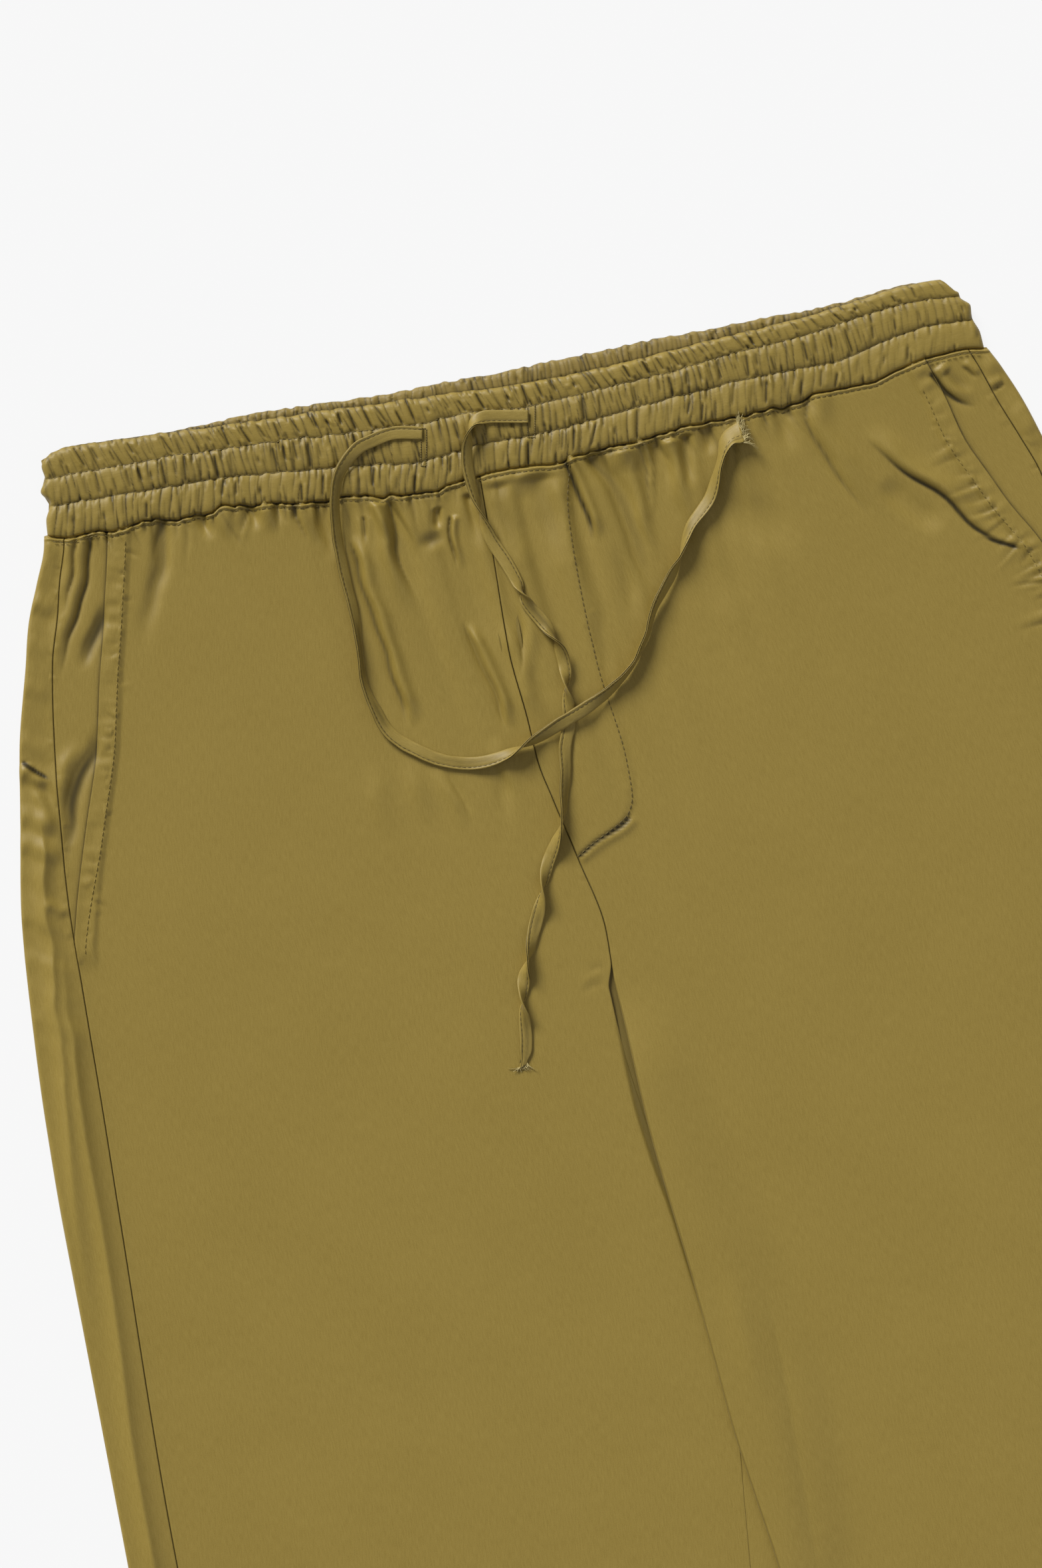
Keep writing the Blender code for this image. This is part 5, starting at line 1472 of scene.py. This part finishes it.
@dataclass
class Drawstring:
    """One free end of the drawstring: a folded, edge-stitched ribbon that lies on the front.

    The surface is what it lies on, and the hump is how far it rises over the other end. Its tip widens or
    narrows by the flare over the spread, and the cut slants it.
    """

    name: str
    route: tuple[Stop, ...]
    surface: Callable[[Array, Array], Array]
    flare: float
    cut: float
    hump: float = 0.0
    spread: float = 16.0
    spacing: float = 0.8
    thread_radius: float = 0.19
    thread_sides: int = 5

    def path(self) -> tuple[Array, Array, Array]:
        """The ribbon's centreline and turn, evenly spaced along a smooth curve through the route.

        Returns:
            Points in millimetres, tilts in radians, and distances along the ribbon.
        """
        stops = np.array([(stop.x / MM, stop.drop / MM, math.radians(stop.tilt)) for stop in self.route])
        curve = smooth_line(stops, 40)
        run = distances(curve[:, :2])
        even = np.linspace(0, run[-1], int(run[-1] / self.spacing))
        x, drop, tilt = (np.interp(even, run, curve[:, k]) for k in range(3))
        away = np.hypot(x - CROSSING[0], drop - CROSSING[1])
        reach = CORD_WIDTH / 2 + 1
        steps = (-reach, 0.0, reach)
        floor = np.max([self.surface(x + one, drop + other) for one in steps for other in steps], axis=0)
        floor = running(running(floor, 5, np.max), 6, np.mean)
        lift = np.abs(np.sin(tilt)) * CORD_WIDTH / 2 + np.abs(np.cos(tilt)) * CORD_THICK / 2
        lift = running(lift, 4, np.mean)
        z = floor + CORD_GAP + lift + self.hump * np.exp(-((away / CROSSING_REACH) ** 2))
        return on_plan(x, drop, z), tilt, even

    def axes(self, path: Array, tilt: Array) -> tuple[Array, Array]:
        """The ribbon's width and thickness directions: level and upright, turned by the tilt."""
        along = unit(np.gradient(path, axis=0))
        level = unit(np.cross(along, (0.0, 0.0, 1.0)))
        upright = np.cross(level, along)
        cos, sin = np.cos(tilt)[:, None], np.sin(tilt)[:, None]
        return cos * level + sin * upright, cos * upright - sin * level

    def build(self) -> tuple[Piece, list[list[float]]]:
        """The ribbon as rings along its path: folded cloth, stitched beside the edge where its lips meet.

        Returns:
            The ribbon's object and its path in metres.
        """
        path, tilt, run = self.path()
        width, thick = self.axes(path, tilt)
        across, up, dark = RIBBON_SECTION.T
        end = 1 + (self.flare - 1) * ease((run - run[-1] + self.spread + 2.0) / self.spread)
        ripple = 1 + 0.05 * wobble(run, 5.0, 1.0, 201)
        bend = 0.22 * wobble(run, 7.0, 1.0, 202)[:, None] * (2 * across / CORD_WIDTH)[None, :] ** 2
        along = unit(np.gradient(path, axis=0))
        wide = (end * ripple)[:, None] * width + self.cut * ease((run - run[-1] + 6.0) / 6.0)[:, None] * along
        points = path[:, None] + across[None, :, None] * wide[:, None]
        points = points + (up[None, :] + bend)[..., None] * thick[:, None]
        # Painted shade along the middle of the upper face, stronger in some stretches, added to the section's
        # painted shade.
        middle_shade_share = np.clip(wobble(run, 12.0, 1.0, 203) + 0.3, 0.0, 1.0)
        middle = np.exp(-(((across + 0.4) / 1.3) ** 2)) * (up > 0)
        crease = np.clip(dark[None, :] + 0.5 * middle_shade_share[:, None] * middle[None, :], 0.0, 1.0)
        piece = Patch(points, crease).object(self.name, ring=True, caps=True)
        return piece, (path * MM).tolist()

    def edge_line(self) -> list[Array]:
        """Where the ribbon's edge stitching lies, on both of its faces."""
        path, tilt, _ = self.path()
        width, thick = self.axes(path, tilt)
        return [path + EDGE_SEWING * width + side * 0.36 * CORD_THICK * thick for side in (1, -1)]

    def frayed_end(self, count: int, length: float, seed: int) -> Piece:
        """Loose threads at the cut end: thin curved tubes that fan out from across the ribbon.

        Args:
            count: How many threads.
            length: The longest thread, in millimetres.
            seed: Picks the threads.

        Returns:
            The threads as one object.
        """
        rng = np.random.default_rng(seed)
        path, tilt, _ = self.path()
        width, thick = self.axes(path, tilt)
        along = unit(path[-1:] - path[-3])[0]
        across = rng.uniform(-1, 1, count)
        edge = self.flare * width[-1] + self.cut * along
        start = path[-1] + (across * CORD_WIDTH / 2)[:, None] * edge - 0.8 * along
        fan = 0.9 * across[:, None] + rng.normal(0, 0.5, count)[:, None]
        run = np.linspace(0, 1, 7)
        curl = rng.normal(0, 0.6, count)[:, None]
        size = rng.uniform(0.3, 1.0, count)[:, None] * length
        ahead = size * run[None, :] * (1 - 0.3 * run[None, :])
        aside = size * (fan * run[None, :] + curl * run[None, :] ** 2)
        middle = start[:, None] + ahead[..., None] * along + aside[..., None] * width[-1]
        middle[..., 2] = start[:, None, 2] + rng.uniform(-0.3, 0.5, count)[:, None] * run[None, :]
        angle = np.linspace(0, 2 * np.pi, self.thread_sides, endpoint=False)[:, None]
        ring = np.cos(angle) * width[-1] + np.sin(angle) * np.array((0.0, 0.0, 1.0))
        radius = self.thread_radius * (1 - 0.4 * run)[None, :, None, None]
        points = middle[:, :, None] + radius * ring
        return mesh_object(self.name + "_frayed_end", points, tube_faces(len(run), self.thread_sides, count))


# Pixels down the mock fly's line of sewing
FLY_SEWING = (
    ((858, 699), (854, 756), (861, 818), (871, 875), (883, 933), (892, 971), (904, 1019), (923, 1076))
    + ((938, 1124), (947, 1167), (951, 1195), (949, 1214), (940, 1231), (915, 1252), (890, 1271))
    + ((867, 1291),)
)
# The left, right, top and bottom pixel of each buttonhole
BUTTONHOLES = ((634.0, 642.0, 646.0, 702.0), (794.0, 805.0, 611.0, 659.0))


@dataclass
class Sewing:
    """All lines of stitching that show on the trousers."""

    cloth: Cloth
    band: Waistband
    stitches: Stitches = Stitches()

    def on_front(self, side: Side, x: Array, drop: Array) -> Array:
        """A line of sewing on a front panel, just sunk into the cloth."""
        z = self.cloth.top(side, x, drop)[0] + self.stitches.radius - self.stitches.sink
        return on_plan(x, drop, z)

    def waistband(self) -> Piece:
        """Both lines of stitching through the band's channels."""
        paths = []
        for channel in (1, 2):
            x = np.linspace(BAND_FROM + 2.0, BAND_TO - 1.0 - 3.0 * channel, 1400)
            height = self.band.line(channel, x)
            z = np.full_like(x, self.band.stitch_level + 0.1)
            paths.append(np.stack((x, WAIST_Y + height, z), axis=1))
        return self.stitches.object("waistband_stitches", paths)

    def waist_seam(self) -> Piece:
        """The topstitch under the waist seam's ridge."""
        x = np.linspace(BAND_FROM - 1.0, BAND_TO - 1.0, 1400)
        drop = 2.0 - seam_height(x)
        right, left = (self.on_front(side, x, drop) for side in Side)
        line = np.where((x < CENTRE_SEAM.at(drop))[:, None], right, left)
        return self.stitches.object("waist_seam_stitches", [line])

    def pockets(self) -> Piece:
        """The topstitch beside each pocket's mouth, about 8 mm in from it."""
        paths = []
        drop = np.linspace(0.0, POCKET_END + 2.0, 500)
        inset = POCKET_SEWING - 3.0 * ease((drop - 130.0) / 50.0)
        for side, cut in CUT.items():
            x = side.value * (cut.mouth.at(drop) - inset)
            paths.append(self.on_front(side, x, drop))
        return self.stitches.object("pocket_stitches", paths)

    def fly(self) -> Piece:
        """The mock fly's J of stitching, from the waist seam round to the centre seam."""
        x, drop = smooth_line(PHOTO.plan(FLY_SEWING), 30).T
        return self.stitches.object("fly_stitches", [self.on_front(Side.LEFT, x, drop)])

    def hems(self) -> Piece:
        """A line of stitching round the front of each hem, 20 mm up from its edge."""
        paths = []
        drop = np.full(400, HEM_SEWING_DROP)
        for side, inner in ((Side.RIGHT, RIGHT_INSEAM), (Side.LEFT, LEFT_FOLD)):
            x = np.linspace(inner.at(drop[0]), side.value * CUT[side].seam.at(drop[0]), len(drop))
            paths.append(self.on_front(side, x, drop))
        return self.stitches.object("hem_stitches", paths)

    def buttonholes(self) -> Piece:
        """The drawstring's two buttonholes: close stitches down both lips and a bar across each end."""
        paths = []
        for left, right, top, bottom in BUTTONHOLES:
            lips = (((left, top), (left, bottom)), ((right, top), (right, bottom)))
            bars = (((left, top), (right, top)), ((left, bottom), (right, bottom)))
            for ends in lips + bars:
                places = PHOTO.plan(ends)
                share = np.linspace(0, 1, 60)[:, None]
                x, drop = (places[0] * (1 - share) + places[1] * share).T
                z = self.band.top(x, -drop) + 0.12
                paths.append(on_plan(x, drop, z))
        return Stitches(pitch=1.1, length=1.0, radius=0.3).object("buttonhole_stitches", paths)


def linear(code: str) -> tuple[float, float, float, float]:
    """An sRGB hex colour as linear red, green, blue and a full alpha."""
    parts = [int(code[i : i + 2], 16) / 255 for i in (0, 2, 4)]
    plain = [part / 12.92 if part <= 0.04045 else ((part + 0.055) / 1.055) ** 2.4 for part in parts]
    return (*plain, 1.0)


def add_node(
    tree: bpy.types.NodeTree, kind: str, inputs: dict | None = None, **settings: object
) -> bpy.types.Node:
    """Adds a node with its settings, values and links.

    Args:
        tree: The node tree.
        kind: The node's type.
        inputs: For each input, by name or number, a value or the socket that feeds it.
        settings: The node's own properties.

    Returns:
        The node.
    """
    node = tree.nodes.new(kind)
    for name, value in settings.items():
        setattr(node, name, value)
    for name, value in (inputs or {}).items():
        if isinstance(value, Socket):
            tree.links.new(value, node.inputs[name])
        else:
            node.inputs[name].default_value = value
    return node


@dataclass
class Shading:
    """A new material with its node tree, and the few kinds of nodes that the finishes share."""

    name: str

    def __post_init__(self) -> None:
        """Makes the material."""
        self.material = bpy.data.materials.new(self.name)
        self.material.use_nodes = True
        self.tree = self.material.node_tree
        self.shader = self.tree.nodes["Principled BSDF"]

    def values(self, **values: float | tuple[float, ...]) -> None:
        """Sets the shader's own values, named with underscores for spaces."""
        for name, value in values.items():
            self.shader.inputs[name.replace("_", " ")].default_value = value

    def noise(self, places: Socket, scale: float, detail: float) -> Socket:
        """An even noise on some places."""
        inputs = {"Vector": places, "Scale": scale, "Detail": detail}
        return add_node(self.tree, "ShaderNodeTexNoise", inputs).outputs["Fac"]

    def mapped(self, value: Socket, low: float, high: float, top: float) -> Socket:
        """A value carried from a low and a high one to 0 and a top one."""
        inputs = {"Value": value, "From Min": low, "From Max": high, "To Min": 0.0, "To Max": top}
        return add_node(self.tree, "ShaderNodeMapRange", inputs).outputs[0]

    def total(self, one: Socket, other: Socket) -> Socket:
        """Two values added up."""
        return add_node(self.tree, "ShaderNodeMath", {0: one, 1: other}, operation="ADD").outputs[0]

    def mixed(self, share: Socket, one: object, other: tuple[float, ...]) -> Socket:
        """Two colours mixed, with the share of the second one."""
        inputs = {0: share, 6: one, 7: other}
        return add_node(self.tree, "ShaderNodeMix", inputs, data_type="RGBA").outputs[2]


@dataclass(frozen=True)
class SatinFinish:
    """Woven polyester satin: long floats along the warp give a soft broad sheen and a faint grain.

    The real threads are about 0.1 mm apart, too fine to show, so the grain is drawn as slubs 0.6 mm wide and
    several millimetres long, and the weave's fine sparkle as a noise of 0.4 mm.
    """

    name: str
    face: str
    pale: str
    # deep is the colour of the painted shade in creases, gaps and under edges
    deep: str
    roughness: float = 0.5
    slub_length: float = 0.005
    slub_width: float = 0.0006
    weave: float = 0.0004
    patches: float = 22.0
    # crease_shade is how far the painted shade goes towards the deep colour
    crease_shade: float = 0.93
    relief: float = 0.0001

    def material(self) -> bpy.types.Material:
        """The finish as a material: grain and tone on the cloth's own places, with painted shade in its
        creases, gaps and turned edges.
        """
        made = Shading(self.name)
        places = add_node(made.tree, "ShaderNodeUVMap", uv_map="cloth").outputs["UV"]
        stretch = (1 / self.slub_width, 1 / self.slub_length, 1.0)
        stretched = add_node(made.tree, "ShaderNodeMapping", {"Vector": places, "Scale": stretch}).outputs[0]
        slub = {"Vector": stretched, "Scale": 1.0, "Detail": 2.0, "Roughness": 0.6}
        slubs = add_node(made.tree, "ShaderNodeTexNoise", slub).outputs["Fac"]
        grain = made.total(slubs, made.noise(places, 1 / self.weave, 1.0))
        tone = made.mapped(made.noise(places, self.patches, 2.0), 0.35, 0.65, 0.1)
        share = made.total(made.mapped(grain, 0.7, 1.35, 0.8), tone)
        cloth = made.mixed(share, linear(self.face), linear(self.pale))
        # The crease attribute holds painted shade, which darkens the colour towards the deep one.
        crease = {"attribute_name": "crease", "attribute_type": "GEOMETRY"}
        depth = add_node(made.tree, "ShaderNodeAttribute", **crease).outputs["Fac"]
        colour = made.mixed(made.mapped(depth, 0.04, 1.0, self.crease_shade), cloth, linear(self.deep))
        bump = {"Height": grain, "Strength": 0.35, "Distance": self.relief}
        normal = add_node(made.tree, "ShaderNodeBump", bump).outputs["Normal"]
        made.tree.links.new(colour, made.shader.inputs["Base Color"])
        made.tree.links.new(normal, made.shader.inputs["Normal"])
        made.values(Roughness=self.roughness, Specular_IOR_Level=0.4, Sheen_Weight=0.08, Sheen_Roughness=0.4)
        return made.material


@dataclass(frozen=True)
class ThreadFinish:
    """Spun polyester sewing thread, or a yarn from the cut end: matt, with its twist as a fine noise."""

    name: str
    colour: str
    pale: str
    twist: float = 0.0007

    def material(self) -> bpy.types.Material:
        """The finish as a material whose twist shows as paler specks on the object's own places."""
        made = Shading(self.name)
        places = add_node(made.tree, "ShaderNodeTexCoord").outputs["Object"]
        specks = made.noise(places, 1 / self.twist, 1.0)
        colour = made.mixed(specks, linear(self.colour), linear(self.pale))
        made.tree.links.new(colour, made.shader.inputs["Base Color"])
        made.values(Roughness=0.7)
        return made.material


SATIN = SatinFinish("olive_gold_satin_face", "8e7832", "a38c43", "2c2409")
SATIN_INSIDE = SatinFinish("olive_gold_satin_inside", "867033", "97823f", "2a2209", roughness=0.55)
SATIN_RIBBON = SatinFinish("olive_gold_satin_ribbon", "8e7935", "a58e47", "2c2409", slub_length=0.003)
# The thread's own colour is the cloth's olive; this one is darker with painted shade of the ditches it sinks
# into.
DITCH_SHADED_THREAD = ThreadFinish("olive_polyester_thread_painted_ditch_shade", "5c4f24", "7c6b35")
PALE_THREAD = ThreadFinish("olive_polyester_topstitch_thread", "84712f", "9c863e")
LOOSE_THREAD = ThreadFinish("frayed_satin_yarn", "b3a268", "d6c78e")


@dataclass(frozen=True)
class Lamp:
    """A soft distant lamp: where it stands in the picture, how high, how broad and how strong, in degrees."""

    name: str
    azimuth: float
    height: float
    spread: float
    strength: float


@dataclass(frozen=True)
class Studio:
    """The plain pale floor, the soft light and the camera straight above, framed as the photograph."""

    camera_middle: tuple[float, float] = (-0.0260, 0.3297)
    lens: float = 100.0
    sensor: float = 36.0
    floor_colour: str = "f7f7f7"
    floor_half: float = 6000.0
    floor_level: float = -0.4
    room: float = 0.2
    lamps: tuple[Lamp, ...] = (
        Lamp("window_light", 125.0, 30.0, 24.0, 3.6),
        Lamp("bounced_light", -40.0, 50.0, 60.0, 0.3),
    )

    def camera(self) -> None:
        """A camera straight above the photograph's middle, turned as the garment lies in the picture."""
        data = bpy.data.cameras.new("overhead_camera")
        data.sensor_fit = "VERTICAL"
        data.sensor_height = self.sensor
        data.lens = self.lens
        tall = PHOTO.height * PHOTO.pixel * MM
        camera = bpy.data.objects.new("overhead_camera", data)
        camera.location = (*self.camera_middle, tall / 2 * self.lens / (self.sensor / 2) + FLAT_LEVEL * MM)
        camera.rotation_euler = (0.0, 0.0, -PHOTO.turn)
        bpy.context.scene.collection.objects.link(camera)
        bpy.context.scene.camera = camera

    def floor(self) -> None:
        """A plain pale floor just under the cloth, lit evenly so that the cut-out stands on white."""
        signs = ((-1, -1), (1, -1), (1, 1), (-1, 1))
        corners = [(self.floor_half * x, self.floor_half * y, self.floor_level) for x, y in signs]
        floor = mesh_object("studio_floor", np.array(corners), [[0, 1, 2, 3]])
        made = Shading("white_paper_sweep")
        made.values(Base_Color=(0.08, 0.08, 0.08, 1.0), Roughness=1.0, Specular_IOR_Level=0.0)
        made.values(Emission_Color=linear(self.floor_colour), Emission_Strength=0.93)
        floor.data.materials.append(made.material)

    def light(self) -> None:
        """Faint daylight from all round, a low soft light from the upper left and a weak one across."""
        world = bpy.data.worlds.new("soft_room")
        world.use_nodes = True
        background = world.node_tree.nodes["Background"]
        background.inputs["Color"].default_value = (1.0, 1.0, 1.0, 1.0)
        background.inputs["Strength"].default_value = self.room
        bpy.context.scene.world = world
        for lamp in self.lamps:
            data = bpy.data.lights.new(lamp.name, "SUN")
            data.angle = math.radians(lamp.spread)
            data.energy = lamp.strength
            light = bpy.data.objects.new(lamp.name, data)
            light.location = (0.0, 0.0, 2.5)
            turn = math.radians(lamp.azimuth + 90.0) - PHOTO.turn
            light.rotation_euler = (math.radians(90.0 - lamp.height), 0.0, turn)
            bpy.context.scene.collection.objects.link(light)
        bpy.context.scene.view_settings.view_transform = "Standard"


@dataclass
class Trousers:
    """The whole garment: builds each piece and dresses it."""

    cloth: Cloth = field(default_factory=Cloth)
    band: Waistband = field(default_factory=Waistband)
    finishes: dict[str, bpy.types.Material] = field(default_factory=dict)

    def finish(self, kind: SatinFinish | ThreadFinish) -> bpy.types.Material:
        """The material of a finish, made once."""
        if kind.name not in self.finishes:
            self.finishes[kind.name] = kind.material()
        return self.finishes[kind.name]

    def dress(
        self,
        piece: Piece,
        kind: SatinFinish | ThreadFinish,
        nodes: Sequence[str] = (),
    ) -> Piece:
        """Gives a piece its finish, its body and the nodes that it stands for.

        Args:
            piece: The piece.
            kind: Its finish.
            nodes: The model's nodes that it replaces.

        Returns:
            The piece.
        """
        piece.data.materials.append(self.finish(kind))
        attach(piece, "root")
        for node in nodes:
            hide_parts(node)
        log.info("%s: %d faces", piece.name, len(piece.data.polygons))
        return piece

    def surface(self, x: Array, drop: Array) -> Array:
        """The garment's upper side at places on the plan, for what lies on it."""
        right = self.cloth.top(Side.RIGHT, x, drop)[0]
        left = self.cloth.top(Side.LEFT, x, drop)[0]
        front = np.where(x < CENTRE_SEAM.at(drop), right, left)
        height = -drop
        on_band = (height > seam_height(x)) & (height < FRONT_TOP.at(x))
        return np.where(on_band, self.band.top(x, height), front)

    def drawstrings(self) -> None:
        """Both free ends, with their stitching and frayed tips."""
        left = Drawstring("drawstring_end_left", LEFT_ROUTE, self.surface, 1.9, -0.55, hump=2.1)
        right = Drawstring("drawstring_end_right", RIGHT_ROUTE, self.surface, 0.5, 0.5, spread=7.0)
        stitches = Stitches(pitch=2.4, length=1.6, radius=0.2)
        # Each end with its node, its length in metres, how many threads it frays into and the longest one
        ends = ((left, "drawstring_left", 0.41, 90, 6.5), (right, "drawstring_right", 0.335, 40, 4.2))
        for string, node, length, threads, frayed in ends:
            piece, path = string.build()
            self.dress(piece, SATIN_RIBBON, [node])
            sewing = stitches.object(string.name + "_stitches", string.edge_line())
            self.dress(sewing, DITCH_SHADED_THREAD)
            fray = string.frayed_end(threads, frayed, 301)
            self.dress(fray, LOOSE_THREAD)
            log.info("%s: %.3f m along its path", string.name, distances(np.array(path))[-1])

    def sew(self) -> None:
        """All cloth pieces and their stitching."""
        sewing = Sewing(self.cloth, self.band)
        band_stitches = self.dress(sewing.waistband(), DITCH_SHADED_THREAD)
        holes = self.dress(sewing.buttonholes(), DITCH_SHADED_THREAD)
        seam_stitches = self.dress(sewing.waist_seam(), DITCH_SHADED_THREAD)
        pocket_stitches = self.dress(sewing.pockets(), PALE_THREAD)
        fly_stitches = self.dress(sewing.fly(), DITCH_SHADED_THREAD)
        hem_stitches = self.dress(sewing.hems(), DITCH_SHADED_THREAD)
        band = self.dress(self.band.front(), SATIN, ["waistband_front"])
        back_band = self.dress(self.band.back(), SATIN_INSIDE, ["waistband_back"])
        for side in Side:
            leg = LegPanels(self.cloth, side)
            back = self.dress(leg.back(), SATIN, [f"back_leg_{leg.name}"])
            pocket = PocketBacking(self.cloth, leg).build()
            backing = self.dress(pocket, SATIN, [f"pocket_facing_{leg.name}"])
            under = [f"back_leg_{leg.name}", f"pocket_facing_{leg.name}"]
            front = self.dress(leg.front(), SATIN, [f"front_leg_{leg.name}"])
        fly = self.dress(FlyLayer(self.cloth).build(), SATIN_INSIDE, ["fly_facing"])


def main() -> None:
    """Builds the studio and the trousers."""
    logging.basicConfig(level=logging.INFO, format="%(name)s: %(message)s")
    studio = Studio()
    studio.camera()
    trousers = Trousers()
    trousers.drawstrings()
    trousers.sew()
    studio.floor()
    studio.light()


if __name__ == "__main__":
    main()
